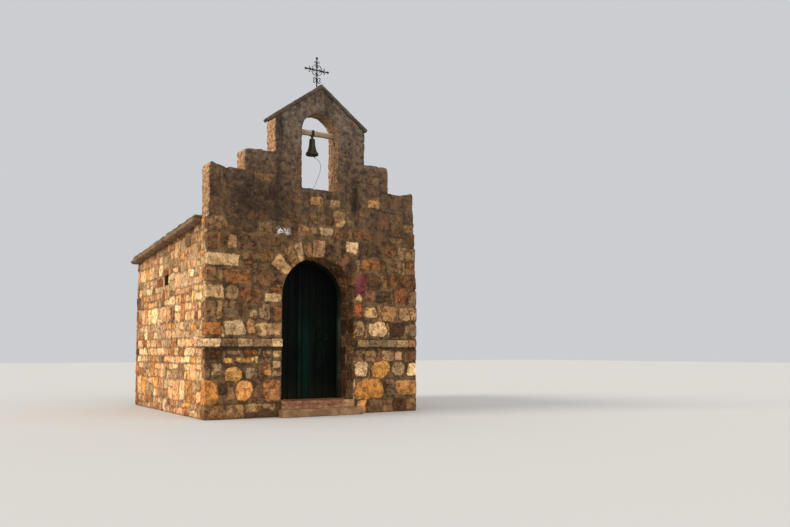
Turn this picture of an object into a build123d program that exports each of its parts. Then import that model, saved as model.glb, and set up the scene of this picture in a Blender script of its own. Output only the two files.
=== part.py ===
from build123d import *
import math
import os

# A small rubble-stone chapel with a stepped bell gable, in millimetres.
# Frame: +Z up, the front faces -Y, the origin is on the ground at the middle of the walls.

# Outline of the body
front_width = 3480.0
body_depth = 3800.0
front_thick = 500.0
gable_thick = 300.0
side_thick = 450.0
back_thick = 450.0

# Heights, one on the other from the ground up
floor_height = 220.0
door_straight = 1547.0
wall_over_spring = 993.0
gable_wall_high = 632.0
inner_step_high = 486.0
niche_straight = 895.0
head_high = 747.0
cross_rise = 264.0

# The corners lean in slightly: the left above the belt course, the right above the door's spring
corner_lean_left = 21.0
corner_lean_right = 57.0

# Doorway with a round arch
door_shift = -4.5
door_half = 605.5
arch_ring = 230.0

# Stepped gable and belfry with one niche
belfry_shift = 19.0
belfry_half = 752.5
niche_shift = -20.5
niche_half = 305.5
outer_step_left = 541.0
outer_step_right = 536.0
left_step_high = 161.0
right_step_high = 63.0
step_crest = 63.0
step_round = 22.0
coping_thick = 55.0
coping_over = 59.0
coping_front = 30.0
coping_back = 50.0
gable_pitch = 36.4

# Belt course with a rounded nose
belt_height = 789.0
belt_high = 122.0
belt_proud = 38.0
belt_into_doorway = 5.0
belt_from_doorway = 55.0
belt_return = 420.0
belt_nose = 26.0

# Roof slab, falling to the back, with a worn cap
roof_slope = 4.26
roof_above_gable_base = 147.0
roof_slab_thick = 78.0
roof_cap_thick = 42.0
roof_side = 120.0
roof_back = 93.0
cap_inset = 12.0

# Vents in the side walls
vent_from_front = 1988.0
vent_width = 222.0
vent_above_floor = 1790.0
vent_height = 168.0

# Threshold and step
threshold_proud = 20.0
step_depth = 190.0
step_height = 108.0
step_side = 50.0
tread_round = 18.0

# Door frame and leaves
frame_inset = 400.0
frame_deep = 60.0
frame_face = 60.0
leaf_gap = 6.0
leaf_thick = 40.0
leaf_lap = 30.0
leaf_floor_gap = 8.0
seam_shift = -137.0
seam_gap = 8.0
strip_width = 50.0
strip_thick = 12.0
strip_edge = 2.0

# Strap hinges inside the doorway
hinge_inset = 14.0
hinge_back = 11.0
pin_radius = 6.0
pin_clear = 0.05
eye_radius = 13.0
strap_thick = 6.0
strap_high = 45.0
strap_long = 300.0
hinge_low = 280.0
hinge_apart = 1020.0
pintle_arm = 12.0
pintle_reach = 56.0

# Bell, its beam and its hanger
bell_shift = -60.5
bell_inset = 145.0
beam_below_spring = 31.0
beam_high = 73.0
beam_wide = 70.0
beam_socket = 60.0
bell_drop = 25.0
bell_high = 263.0
lip_radius = 99.0
bell_wall = 9.0
clapper_lean = 37.0
clapper_below = 12.0
clapper_rod_radius = 4.5
clapper_ball_radius = 15.0
collar_wide = 42.0
collar_thick = 5.0
ear_thick = 6.0
ear_wide = 22.0
ear_gap = 1.5
eye_wide = 18.0
bell_pin_radius = 4.0

# Cross of wrought bars
cross_inset = 150.0
cross_arm = 190.0
cross_bar = 15.0
ball_radius = 19.0
socket_deep = 70.0
cross_shift = -6.0
scroll_bar = 7.0
scroll_deep = 12.0
scroll_middle = 62.0
scroll_back = 90.0
scroll_back_turn = 21.6
scroll_curl = 17.0
scroll_curl_turn = 215.0
tip_start = 98.0
tip_back = 42.0
tip_back_turn = 52.0
tip_curl = 10.0
tip_curl_turn = 170.0
foot_rise = 105.0
foot_back = 44.0
foot_back_turn = 62.0
foot_curl = 17.0
foot_curl_turn = 215.0

# Bell cord and its coiled end
cord_radius = 4.0
cord_gap = 1.0
cord_bulge = 140.0
cord_behind = 32.0
coil_middle = 45.0
coil_half = 12.0
coil_high = 24.0

# Places that follow from these sizes
front_y = -body_depth / 2
back_y = body_depth / 2
half_width = front_width / 2
inner_y = front_y + front_thick
gable_back = front_y + gable_thick
door_spring = floor_height + door_straight
gable_base = door_spring + wall_over_spring
niche_sill = gable_base + gable_wall_high
inner_step_top = niche_sill + inner_step_high
niche_spring = niche_sill + niche_straight
gable_apex = niche_spring + head_high
cross_arm_z = gable_apex + cross_rise
belt_bottom = floor_height + belt_height
belt_top = belt_bottom + belt_high
roof_under = roof_slab_thick + roof_cap_thick
roof_top_front = gable_base + roof_above_gable_base
niche_centre = belfry_shift + niche_shift
vent_y = front_y + vent_from_front
vent_bottom = floor_height + vent_above_floor
frame_front = front_y + frame_inset
frame_back = frame_front + frame_deep
leaf_front = frame_back + leaf_gap
leaf_back = leaf_front + leaf_thick
leaf_radius = door_half - leaf_lap
seam_x = door_shift + seam_shift
hinge_y = leaf_back + hinge_back
hinge_levels = (floor_height + hinge_low, floor_height + hinge_low + hinge_apart)
bell_x = niche_centre + bell_shift
bell_y = front_y + bell_inset
beam_bottom = niche_spring - beam_below_spring
pivot_z = beam_bottom - bell_drop
bell_top = pivot_z - bell_pin_radius - eye_radius
bell_lip = bell_top - bell_high
cross_x = belfry_shift + cross_shift
cross_y = front_y + cross_inset


def save(shape, name):
    """Write one node to its own file."""
    export_step(shape, "parts/" + name + ".step")
    print(name, round(shape.volume / 1e6, 3), "dm3", shape.is_valid)


def block(x0, x1, y0, y1, z0, z1):
    """A box between two corners."""
    solid = Box(x1 - x0, y1 - y0, z1 - z0)
    return Pos((x0 + x1) / 2, (y0 + y1) / 2, (z0 + z1) / 2) * solid


def upright(points, y0, y1):
    """A flat outline in the XZ plane, carried from y0 to y1."""
    corners = [(x, 0, z) for x, z in points]
    face = make_face(Polyline(*corners, close=True))
    return Pos(0, y0, 0) * extrude(face, amount=y1 - y0, dir=(0, 1, 0))


def sideways(points, x0, x1):
    """A flat outline in the YZ plane, carried from x0 to x1."""
    corners = [(0, y, z) for y, z in points]
    face = make_face(Polyline(*corners, close=True))
    return Pos(x0, 0, 0) * extrude(face, amount=x1 - x0, dir=(1, 0, 0))


def rod_y(x, z, radius, y0, y1):
    """A cylinder lying along Y."""
    return Pos(x, (y0 + y1) / 2, z) * Rot(90, 0, 0) * Cylinder(radius, y1 - y0)


def rod_x(y, z, radius, x0, x1):
    """A cylinder lying along X."""
    return Pos((x0 + x1) / 2, y, z) * Rot(0, 90, 0) * Cylinder(radius, x1 - x0)


def rod_z(x, y, radius, z0, z1):
    """A standing cylinder."""
    return Pos(x, y, (z0 + z1) / 2) * Cylinder(radius, z1 - z0)


def arched(x, half, y0, y1, z0, spring):
    """An arched opening or panel: a block with a half disc on top."""
    disc = rod_y(x, spring, half, y0, y1)
    above = block(x - 2 * half, x + 2 * half, y0, y1, spring, spring + 2 * half)
    return (disc & above) + block(x - half, x + half, y0, y1, z0, spring)


def knob(radius):
    """A forged ball end, turned about Z."""
    shoulder = 0.76 * radius
    upper = 0.68 * radius
    outline = Polyline(
        (0, 0, -radius),
        (shoulder, 0, -upper),
        (radius, 0, 0),
        (shoulder, 0, upper),
        (0, 0, radius),
        close=True,
    )
    return revolve(make_face(outline), Axis.Z, 360)


def left_edge(z):
    """The left corner of the front at height z."""
    rise = max(0.0, z - belt_top) / (niche_sill - belt_top)
    return -half_width + corner_lean_left * rise


def right_edge(z):
    """The right corner of the front at height z."""
    rise = max(0.0, z - door_spring) / (niche_sill - door_spring)
    return half_width - corner_lean_right * rise


def roof_z(y, below=0.0):
    """The height of the roof's top plane at y, or of a plane below it."""
    return roof_top_front - below - (y - gable_back) * math.tan(math.radians(roof_slope))


os.makedirs("parts", exist_ok=True)

# Space above the roof's underside, cut from the walls that carry it
beyond = front_width
roof_space = sideways(
    [
        (gable_back, roof_z(gable_back, roof_under)),
        (back_y + beyond, roof_z(back_y + beyond, roof_under)),
        (back_y + beyond, gable_apex),
        (gable_back, gable_apex),
    ],
    -beyond,
    beyond,
)

# Front wall beside the doorway
door_left = door_shift - door_half
door_right = door_shift + door_half
front_wall_left = upright(
    [
        (-half_width, 0.0),
        (door_left, 0.0),
        (door_left, door_spring),
        (left_edge(door_spring), door_spring),
        (left_edge(belt_top), belt_top),
    ],
    front_y,
    inner_y,
)
front_wall_right = upright(
    [
        (door_right, 0.0),
        (half_width, 0.0),
        (half_width, door_spring),
        (door_right, door_spring),
    ],
    front_y,
    inner_y,
)

# Arch ring over the doorway, and the wall on both sides of it
ring_solid = rod_y(door_shift, door_spring, door_half + arch_ring, front_y, inner_y)
ring_hole = rod_y(door_shift, door_spring, door_half, front_y, inner_y)
above_spring = block(-beyond, beyond, front_y, inner_y, door_spring, gable_apex)
door_arch = (ring_solid - ring_hole) & above_spring
wall_over_door_left = upright(
    [
        (left_edge(door_spring), door_spring),
        (door_shift, door_spring),
        (door_shift, gable_base),
        (left_edge(gable_base), gable_base),
    ],
    front_y,
    inner_y,
)
wall_over_door_left = wall_over_door_left - ring_solid - roof_space
wall_over_door_right = upright(
    [
        (door_shift, door_spring),
        (right_edge(door_spring), door_spring),
        (right_edge(gable_base), gable_base),
        (door_shift, gable_base),
    ],
    front_y,
    inner_y,
)
wall_over_door_right = wall_over_door_right - ring_solid - roof_space

# Upper front wall up to the sill of the bell niche
gable_wall = upright(
    [
        (left_edge(gable_base), gable_base),
        (right_edge(gable_base), gable_base),
        (right_edge(niche_sill), niche_sill),
        (left_edge(niche_sill), niche_sill),
    ],
    front_y,
    gable_back,
)

# Stepped shoulders of the gable, hollowed and rounded by weather
belfry_left = belfry_shift - belfry_half
belfry_right = belfry_shift + belfry_half
step_left = -half_width + outer_step_left
step_right = half_width - outer_step_right


def outer_step(corner_x, inner_x, high):
    """The low shoulder at a corner: a raised corner and a shallow hollow beside it."""
    across = inner_x - corner_x
    top = niche_sill + high
    outline = [
        (corner_x, niche_sill),
        (inner_x, niche_sill),
        (inner_x, top + 0.15 * step_crest),
        (corner_x + 0.45 * across, top),
        (corner_x + 0.12 * across, top + 0.75 * step_crest),
        (corner_x + 0.04 * across, top + step_crest),
        (corner_x, top + 0.35 * step_crest),
    ]
    return upright(outline, front_y, gable_back)


left_outer_step = outer_step(left_edge(niche_sill), step_left, left_step_high)
right_outer_step = outer_step(right_edge(niche_sill), step_right, right_step_high)


def inner_step(outer_x, belfry_x):
    """The high shoulder beside the belfry, with its outer edge worn round."""
    solid = block(
        min(outer_x, belfry_x),
        max(outer_x, belfry_x),
        front_y,
        gable_back,
        niche_sill,
        inner_step_top,
    )
    edge = solid.edges().filter_by(Axis.Y).filter_by_position(
        Axis.X, outer_x - 1, outer_x + 1
    ).filter_by_position(Axis.Z, inner_step_top - 1, inner_step_top + 1)
    return fillet(edge, 2 * step_round)


left_inner_step = inner_step(step_left, belfry_left)
right_inner_step = inner_step(step_right, belfry_right)

# Beam that carries the bell, let into both piers of the niche
niche_left = niche_centre - niche_half
niche_right = niche_centre + niche_half
bell_beam = block(
    niche_left - beam_socket,
    niche_right + beam_socket,
    bell_y - beam_wide / 2,
    bell_y + beam_wide / 2,
    beam_bottom,
    beam_bottom + beam_high,
)

# Belfry piers, and the arched head with the cross's socket
slope = math.radians(gable_pitch)
head_apex = gable_apex - coping_thick / math.cos(slope)
head_eaves = head_apex - math.tan(slope) * belfry_half
bar_half = cross_bar / 2
cross_shaft = block(
    cross_x - bar_half,
    cross_x + bar_half,
    cross_y - bar_half,
    cross_y + bar_half,
    gable_apex - socket_deep,
    cross_arm_z + cross_arm,
)
belfry_pier_left = block(
    belfry_left, niche_left, front_y, gable_back, niche_sill, niche_spring
)
belfry_pier_left = belfry_pier_left - bell_beam
belfry_pier_right = block(
    niche_right, belfry_right, front_y, gable_back, niche_sill, niche_spring
)
belfry_pier_right = belfry_pier_right - bell_beam
belfry_head = upright(
    [
        (belfry_left, niche_spring),
        (belfry_right, niche_spring),
        (belfry_right, head_eaves),
        (belfry_shift, head_apex),
        (belfry_left, head_eaves),
    ],
    front_y,
    gable_back,
)
niche_arch = rod_y(niche_centre, niche_spring, niche_half, front_y, gable_back)
belfry_head = belfry_head - niche_arch - bell_beam - cross_shaft


def coping(side):
    """One coping slab of the gable, side -1 for left and 1 for right."""
    half = belfry_half + coping_over
    tip_z = gable_apex - math.tan(slope) * half
    outline = [
        (belfry_shift, gable_apex),
        (belfry_shift, head_apex),
        (
            belfry_shift + side * (half - coping_thick * math.sin(slope)),
            tip_z - coping_thick * math.cos(slope),
        ),
        (belfry_shift + side * half, tip_z),
    ]
    slab = upright(outline, front_y - coping_front, gable_back + coping_back)
    return slab - cross_shaft


coping_left = coping(-1)
coping_right = coping(1)


def belt(x0, x1, y0, y1, along, outward):
    """A belt stone that runs along one axis, with a rounded nose on its outer side."""
    solid = block(x0, x1, y0, y1, belt_bottom, belt_top)
    nose = solid.edges().filter_by(along).group_by(outward)[0]
    return fillet(nose, belt_nose)


# Belt course on the front: it turns the left corner and stops at the right one
belt_left = belt(
    -half_width - belt_proud,
    door_left + belt_into_doorway,
    front_y - belt_proud,
    front_y,
    Axis.X,
    Axis.Y,
)
belt_right = belt(
    door_right + belt_from_doorway,
    half_width,
    front_y - belt_proud,
    front_y,
    Axis.X,
    Axis.Y,
)
return_end = front_y + belt_return
belt_return_left = belt(
    -half_width - belt_proud, -half_width, front_y, return_end, Axis.Y, Axis.X
)

# Side walls with their small vents, and the back wall
side_back = back_y - back_thick
vent_hole = block(
    -beyond,
    beyond,
    vent_y - vent_width / 2,
    vent_y + vent_width / 2,
    vent_bottom,
    vent_bottom + vent_height,
)
wall_inside = half_width - side_thick
corner_points = [
    (-half_width, 0.0),
    (-half_width, belt_top),
    (left_edge(roof_top_front), roof_top_front),
]
far_points = [
    (right_edge(roof_top_front), roof_top_front),
    (half_width, door_spring),
    (half_width, 0.0),
]
left_wall = upright(
    corner_points + [(-wall_inside, roof_top_front), (-wall_inside, 0.0)],
    inner_y,
    side_back,
)
left_wall = left_wall - roof_space - vent_hole
right_wall = upright(
    [(wall_inside, 0.0), (wall_inside, roof_top_front)] + far_points,
    inner_y,
    side_back,
)
right_wall = right_wall - roof_space - vent_hole
back_wall = upright(corner_points + far_points, side_back, back_y)
back_wall = back_wall - roof_space


def worn_tread(solid):
    """Round the front top edge of a step."""
    edge = solid.edges().filter_by(Axis.X).group_by(Axis.Y)[0].sort_by(Axis.Z)[-1]
    return fillet(edge, tread_round)


# Floor, threshold and step
floor_slab = block(-wall_inside, wall_inside, inner_y, side_back, 0.0, floor_height)
sill_front = front_y - threshold_proud
threshold = block(door_left, door_right, sill_front, inner_y, 0.0, floor_height)
threshold = worn_tread(threshold)
front_step = block(
    door_left - step_side,
    door_right + step_side,
    sill_front - step_depth,
    sill_front,
    0.0,
    step_height,
)
front_step = worn_tread(front_step)

# Roof slab and the worn cap on it
roof_far = back_y + roof_back
roof_slab = sideways(
    [
        (gable_back, roof_z(gable_back, roof_under)),
        (roof_far, roof_z(roof_far, roof_under)),
        (roof_far, roof_z(roof_far, roof_cap_thick)),
        (gable_back, roof_z(gable_back, roof_cap_thick)),
    ],
    -half_width - roof_side,
    half_width + roof_side,
)
cap_far = roof_far - cap_inset
roof_cap = sideways(
    [
        (gable_back, roof_z(gable_back, roof_cap_thick)),
        (cap_far, roof_z(cap_far, roof_cap_thick)),
        (cap_far, roof_z(cap_far)),
        (gable_back, roof_z(gable_back)),
    ],
    -half_width - roof_side + cap_inset,
    half_width + roof_side - cap_inset,
)

# Door frame, set in the opening
frame_clear = door_half - frame_face
frame_outside = arched(
    door_shift, door_half, frame_front, frame_back, floor_height, door_spring
)
frame_inside = arched(
    door_shift, frame_clear, frame_front, frame_back, floor_height, door_spring
)
door_frame = frame_outside - frame_inside

# Two door leaves with arched tops, hung behind the frame
leaf_low = floor_height + leaf_floor_gap
leaves = arched(door_shift, leaf_radius, leaf_front, leaf_back, leaf_low, door_spring)
seam_left = seam_x - seam_gap / 2
seam_right = seam_x + seam_gap / 2
door_leaf_left = leaves & block(-beyond, seam_left, front_y, 0.0, 0.0, gable_apex)
door_leaf_right = leaves & block(seam_right, beyond, front_y, 0.0, 0.0, gable_apex)
strip_left = seam_right + strip_edge
door_strip = block(
    strip_left,
    strip_left + strip_width,
    leaf_front - strip_thick,
    leaf_front,
    leaf_low + frame_face / 2,
    door_spring + frame_clear * 0.85,
)


def straps(side):
    """The straps of one leaf, each with an eye for its pin."""
    parts = []
    axis_x = door_shift + side * (door_half - hinge_inset)
    far_x = axis_x - side * strap_long
    for level in hinge_levels:
        top = level + strap_high
        bar = block(
            min(axis_x, far_x),
            max(axis_x, far_x),
            leaf_back,
            leaf_back + strap_thick,
            level,
            top,
        )
        eye = rod_z(axis_x, hinge_y, eye_radius, level, top)
        hole = rod_z(axis_x, hinge_y, pin_radius + pin_clear, level, top)
        parts.append(bar + eye - hole)
    return Compound(children=parts)


def pintles(side):
    """The pins of one side, each on an arm that is built into the wall."""
    parts = []
    axis_x = door_shift + side * (door_half - hinge_inset)
    wall_x = axis_x + side * pintle_reach
    tip_x = axis_x - side * pin_radius
    for level in hinge_levels:
        seat = level - pin_clear
        arm = block(
            min(tip_x, wall_x),
            max(tip_x, wall_x),
            inner_y,
            hinge_y + pin_radius,
            seat - pintle_arm,
            seat,
        )
        pin = rod_z(axis_x, hinge_y, pin_radius, seat, level + strap_high + pin_radius)
        parts.append(arm + pin)
    return parts


door_straps_left = straps(-1)
door_straps_right = straps(1)
door_pintles = Compound(children=pintles(-1) + pintles(1))

# Hanger: a collar round the beam, two ears and the pin between them
collar_low = beam_bottom - collar_thick
bell_collar = block(
    bell_x - collar_wide / 2,
    bell_x + collar_wide / 2,
    bell_y - beam_wide / 2 - collar_thick,
    bell_y + beam_wide / 2 + collar_thick,
    collar_low,
    beam_bottom + beam_high + collar_thick,
)
bell_collar = bell_collar - bell_beam
ear_near = eye_wide / 2 + ear_gap
ear_far = ear_near + ear_thick
for side in (-1, 1):
    ear = block(
        bell_x + min(side * ear_near, side * ear_far),
        bell_x + max(side * ear_near, side * ear_far),
        bell_y - ear_wide / 2,
        bell_y + ear_wide / 2,
        pivot_z - 2 * bell_pin_radius,
        collar_low,
    )
    bell_collar = bell_collar + ear
bell_collar = bell_collar + rod_x(
    bell_y, pivot_z, bell_pin_radius, bell_x - ear_far, bell_x + ear_far
)

# Bell: a slim turned shell with a flared lip
waist = 0.5 * lip_radius
bell_inside = bell_high - 2 * bell_wall
bell_outline = Polyline(
    (0, 0, bell_inside),
    (0, 0, bell_high),
    (0.30 * lip_radius, 0, bell_high),
    (0.42 * lip_radius, 0, 0.93 * bell_high),
    (0.52 * lip_radius, 0, 0.57 * bell_high),
    (0.63 * lip_radius, 0, 0.36 * bell_high),
    (0.80 * lip_radius, 0, 0.20 * bell_high),
    (lip_radius, 0, 0.12 * bell_high),
    (lip_radius, 0, 0),
    (0.80 * lip_radius, 0, 0),
    (0.64 * lip_radius, 0, 0.18 * bell_high),
    (waist - bell_wall, 0, 0.60 * bell_high),
    (0.25 * lip_radius, 0, bell_inside),
    close=True,
)
shell = revolve(make_face(bell_outline), Axis.Z, 360)
eye_top = pivot_z + eye_radius - 2 * ear_gap
crown_eye = block(
    bell_x - eye_wide / 2,
    bell_x + eye_wide / 2,
    bell_y - eye_radius,
    bell_y + eye_radius,
    bell_top,
    eye_top,
)
crown_eye = chamfer(crown_eye.edges().filter_by(Axis.X).group_by(Axis.Z)[-1], pin_radius)
crown_bore = rod_x(
    bell_y,
    pivot_z,
    bell_pin_radius + pin_clear,
    bell_x - eye_wide,
    bell_x + eye_wide,
)
bell = Pos(bell_x, bell_y, bell_lip) * shell + crown_eye - crown_bore

# Clapper, hung from the crown and leaning a little to the cord
clapper_top = bell_top - 2 * bell_wall
ball_z = bell_lip - clapper_below
clapper_fall = clapper_top - ball_z
lean = math.degrees(math.atan2(clapper_lean, clapper_fall))
clapper_long = math.hypot(clapper_lean, clapper_fall)
clapper_rod = rod_z(0, 0, clapper_rod_radius, -clapper_long, 0)
clapper_shape = clapper_rod + Pos(0, 0, -clapper_long) * knob(clapper_ball_radius)
bell_clapper = Pos(bell_x, bell_y, clapper_top) * Rot(0, -lean, 0) * clapper_shape
bell_clapper = bell_clapper - bell
clapper_x = bell_x + clapper_lean
clapper_low = ball_z - clapper_ball_radius

# Cross: arms with ball ends, carried by the shaft
arms = block(
    cross_x - cross_arm,
    cross_x + cross_arm,
    cross_y - bar_half,
    cross_y + bar_half,
    cross_arm_z - bar_half,
    cross_arm_z + bar_half,
)
for side in (-1, 1):
    arms = arms + Pos(cross_x + side * cross_arm, cross_y, cross_arm_z) * knob(ball_radius)
cross_arms = arms - cross_shaft
cross_shaft = cross_shaft + Pos(cross_x, cross_y, cross_arm_z + cross_arm) * knob(
    ball_radius
)


def scroll(start_x, start_z, heading, arcs):
    """A flat bar bent along tangent arcs in the XZ plane, from a start and a heading."""
    lines = []
    point = Vector(start_x, start_z, 0)
    angle = heading
    for radius, turn in arcs:
        tangent = (math.cos(math.radians(angle)), math.sin(math.radians(angle)))
        lines.append(JernArc(point, tangent, radius, turn))
        point = lines[-1] @ 1
        angle = angle + turn
    flat = extrude(trace(lines, scroll_bar), amount=scroll_deep / 2, both=True)
    return Pos(cross_x, cross_y, 0) * Rot(90, 0, 0) * flat


# Scrolls in the four corners of the cross, their backs outward and both ends curled in
corner_scrolls = []
for turn_x in (-1, 1):
    for turn_z in (-1, 1):
        facing = math.degrees(math.atan2(turn_z, turn_x))
        for way in (-1, 1):
            half_scroll = scroll(
                turn_x * scroll_middle,
                turn_z * scroll_middle,
                facing + way * 90.0,
                [(scroll_back, way * scroll_back_turn), (scroll_curl, way * scroll_curl_turn)],
            )
            corner_scrolls.append(Pos(0, 0, cross_arm_z) * half_scroll)

# Small curls on both sides of the three free arms, near their ball ends
for facing in (0.0, 90.0, 180.0):
    along = (math.cos(math.radians(facing)), math.sin(math.radians(facing)))
    beside = bar_half + scroll_bar / 2
    for way in (-1, 1):
        curl = scroll(
            tip_start * along[0] - way * beside * along[1],
            tip_start * along[1] + way * beside * along[0],
            facing,
            [(tip_back, way * tip_back_turn), (tip_curl, way * tip_curl_turn)],
        )
        corner_scrolls.append(Pos(0, 0, cross_arm_z) * curl)
cross_corner_scrolls = corner_scrolls[0].fuse(*corner_scrolls[1:])
cross_corner_scrolls = cross_corner_scrolls - cross_shaft - cross_arms

# Scrolls beside the foot of the shaft
foot_scrolls = []
for side in (-1, 1):
    for way in (-1, 1):
        half_scroll = scroll(
            side * (bar_half + scroll_bar / 2),
            0.0,
            way * 90.0,
            [
                (foot_back, -side * way * foot_back_turn),
                (foot_curl, -side * way * foot_curl_turn),
            ],
        )
        foot_scrolls.append(Pos(0, 0, gable_apex + foot_rise) * half_scroll)
cross_foot_scrolls = foot_scrolls[0].fuse(*foot_scrolls[1:])
cross_foot_scrolls = cross_foot_scrolls - cross_shaft - coping_left - coping_right

# Bell cord: from below the clapper, over the sill and down behind the gable
cord_top = clapper_low - cord_gap - cord_radius
cord_fall = cord_top - niche_sill
cord_back = gable_back - bell_y
cord_points = [(clapper_x + cord_radius, bell_y, cord_top)]
for across, back, down in (
    (0.36, 0.03, 0.016),
    (0.75, 0.15, 0.085),
    (0.957, 0.29, 0.185),
    (0.986, 0.42, 0.340),
    (0.879, 0.58, 0.454),
    (0.757, 0.81, 0.623),
    (0.529, 0.96, 0.788),
    (0.371, 1.16, 0.942),
):
    x = clapper_x + across * cord_bulge
    y = bell_y + back * cord_back
    cord_points.append((x, y, cord_top - down * cord_fall))
hang_x = clapper_x + 0.30 * cord_bulge
hang_y = gable_back + cord_behind
coil_y = hang_y + coil_middle
coil_tilt = math.radians(roof_slope)
coil_top = roof_z(hang_y) + coil_high / math.cos(coil_tilt)
hang_fall = niche_sill - coil_top
for down, sway in ((0.16, 5.0), (0.40, -1.0), (0.63, 3.0), (0.83, -1.0)):
    cord_points.append((hang_x + sway / 2, hang_y + sway, niche_sill - down * hang_fall))
cord_points.append((hang_x, hang_y, coil_top - cord_radius / 2))
coil_ring = Cylinder(coil_middle + coil_half, coil_high) - Cylinder(
    coil_middle - coil_half, coil_high
)
coil_place = Pos(hang_x, coil_y, roof_z(coil_y)) * Rot(-roof_slope, 0, 0)
bell_cord_coil = coil_place * Pos(0, 0, coil_high / 2) * coil_ring


def cord_path(points):
    """Straight runs joined by tangent arcs, each as large as its runs allow."""
    radii = []
    vectors = [Vector(*p) for p in points]
    for before, here, after in zip(vectors, vectors[1:], vectors[2:]):
        run_in = here - before
        run_out = after - here
        turn = math.radians(run_in.get_angle(run_out))
        shorter = min(run_in.length, run_out.length)
        radii.append(0.45 * shorter / math.tan(turn / 2))
    print("cord runs", [round((b - a).length) for a, b in zip(vectors, vectors[1:])])
    print("cord radii", [round(r) for r in radii])
    return FilletPolyline(*vectors, radius=radii)


cord_line = cord_path(cord_points)
cord_start = Vector(*cord_points[0])
cord_plane = Plane(origin=cord_start, z_dir=Vector(*cord_points[1]) - cord_start)
bell_cord = sweep(cord_plane * Circle(cord_radius), path=cord_line)
print("cord length", cord_line.length, bell_cord.volume / (math.pi * cord_radius**2))
print("cord points", [tuple(round(v / 1000, 4) for v in p) for p in cord_points])
bell_cord = bell_cord - bell_cord_coil

nodes = {
    "front_wall_left": front_wall_left,
    "front_wall_right": front_wall_right,
    "door_arch": door_arch,
    "wall_over_door_left": wall_over_door_left,
    "wall_over_door_right": wall_over_door_right,
    "gable_wall": gable_wall,
    "left_outer_step": left_outer_step,
    "left_inner_step": left_inner_step,
    "right_inner_step": right_inner_step,
    "right_outer_step": right_outer_step,
    "belfry_pier_left": belfry_pier_left,
    "belfry_pier_right": belfry_pier_right,
    "belfry_head": belfry_head,
    "coping_left": coping_left,
    "coping_right": coping_right,
    "belt_left": belt_left,
    "belt_right": belt_right,
    "belt_return_left": belt_return_left,
    "left_wall": left_wall,
    "right_wall": right_wall,
    "back_wall": back_wall,
    "floor_slab": floor_slab,
    "threshold": threshold,
    "front_step": front_step,
    "roof_slab": roof_slab,
    "roof_cap": roof_cap,
    "door_frame": door_frame,
    "door_leaf_left": door_leaf_left,
    "door_leaf_right": door_leaf_right,
    "door_strip": door_strip,
    "door_straps_left": door_straps_left,
    "door_straps_right": door_straps_right,
    "door_pintles": door_pintles,
    "bell_beam": bell_beam,
    "bell_collar": bell_collar,
    "bell": bell,
    "bell_clapper": bell_clapper,
    "cross_shaft": cross_shaft,
    "cross_arms": cross_arms,
    "cross_corner_scrolls": cross_corner_scrolls,
    "cross_foot_scrolls": cross_foot_scrolls,
    "bell_cord": bell_cord,
    "bell_cord_coil": bell_cord_coil,
}
for name, shape in nodes.items():
    save(shape, name)
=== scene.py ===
import math
import random

import bmesh
import bpy
import numpy as np
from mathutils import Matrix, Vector, noise


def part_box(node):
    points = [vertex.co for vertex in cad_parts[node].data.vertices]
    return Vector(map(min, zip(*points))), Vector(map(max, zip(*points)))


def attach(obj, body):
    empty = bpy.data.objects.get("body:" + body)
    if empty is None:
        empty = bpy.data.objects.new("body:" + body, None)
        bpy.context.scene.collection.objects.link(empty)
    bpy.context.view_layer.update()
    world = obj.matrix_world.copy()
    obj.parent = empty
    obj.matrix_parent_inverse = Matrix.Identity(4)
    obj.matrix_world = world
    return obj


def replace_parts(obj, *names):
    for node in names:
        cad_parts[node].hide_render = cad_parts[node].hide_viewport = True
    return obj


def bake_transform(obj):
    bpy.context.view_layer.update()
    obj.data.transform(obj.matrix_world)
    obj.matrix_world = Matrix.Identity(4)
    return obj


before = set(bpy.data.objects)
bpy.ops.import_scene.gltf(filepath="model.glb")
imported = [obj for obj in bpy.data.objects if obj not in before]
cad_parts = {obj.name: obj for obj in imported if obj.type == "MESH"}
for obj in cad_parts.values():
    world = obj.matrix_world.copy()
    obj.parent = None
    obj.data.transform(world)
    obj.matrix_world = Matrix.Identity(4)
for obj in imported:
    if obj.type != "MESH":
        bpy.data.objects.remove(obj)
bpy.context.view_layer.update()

noise.seed_set(7)    # the outlines of the stones stray the same way at each run

bl_info = {
    "name": "Rubble Stone Chapel",
    "version": (1, 0, 0),
    "blender": (4, 5, 0),
    "location": "3D View > Sidebar > Chapel",
    "description": "Dresses a small chapel in rubble stone, crusted render, moss, old paint and iron",
    "category": "Object",
}

# Places taken from the frame, in metres
LEFT_X, FRONT_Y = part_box("left_wall")[0][0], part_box("front_wall_left")[0][1]
RIGHT_X, BACK_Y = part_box("right_wall")[1][0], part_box("back_wall")[1][1]
FLOOR_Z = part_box("floor_slab")[1][2]
DOOR_LEFT, DOOR_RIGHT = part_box("threshold")[0][0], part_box("threshold")[1][0]
DOOR_X, DOOR_R = (DOOR_LEFT + DOOR_RIGHT) / 2, (DOOR_RIGHT - DOOR_LEFT) / 2
SPRING_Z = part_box("door_arch")[0][2]
JAMB, ARC = SPRING_Z - FLOOR_Z, math.pi * DOOR_R
OUTLINE, REVEAL = 2 * JAMB + ARC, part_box("door_frame")[0][1] - FRONT_Y
BELT_LOW, BELT_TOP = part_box("belt_left")[0][2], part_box("belt_left")[1][2]
BELT_OUT = FRONT_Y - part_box("belt_left")[0][1]
BELT_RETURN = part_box("belt_return_left")[1][1] - FRONT_Y
GABLE_LOW, GABLE_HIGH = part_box("gable_wall")
GABLE_DEEP = GABLE_HIGH[1] - FRONT_Y
NICHE_LEFT, NICHE_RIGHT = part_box("belfry_pier_left")[1][0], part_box("belfry_pier_right")[0][0]
NICHE_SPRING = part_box("belfry_head")[0][2]
SLAB_LOW, SLAB_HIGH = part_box("roof_slab")
ROOF_SLOPE = math.tan(math.radians(4.26))
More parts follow.
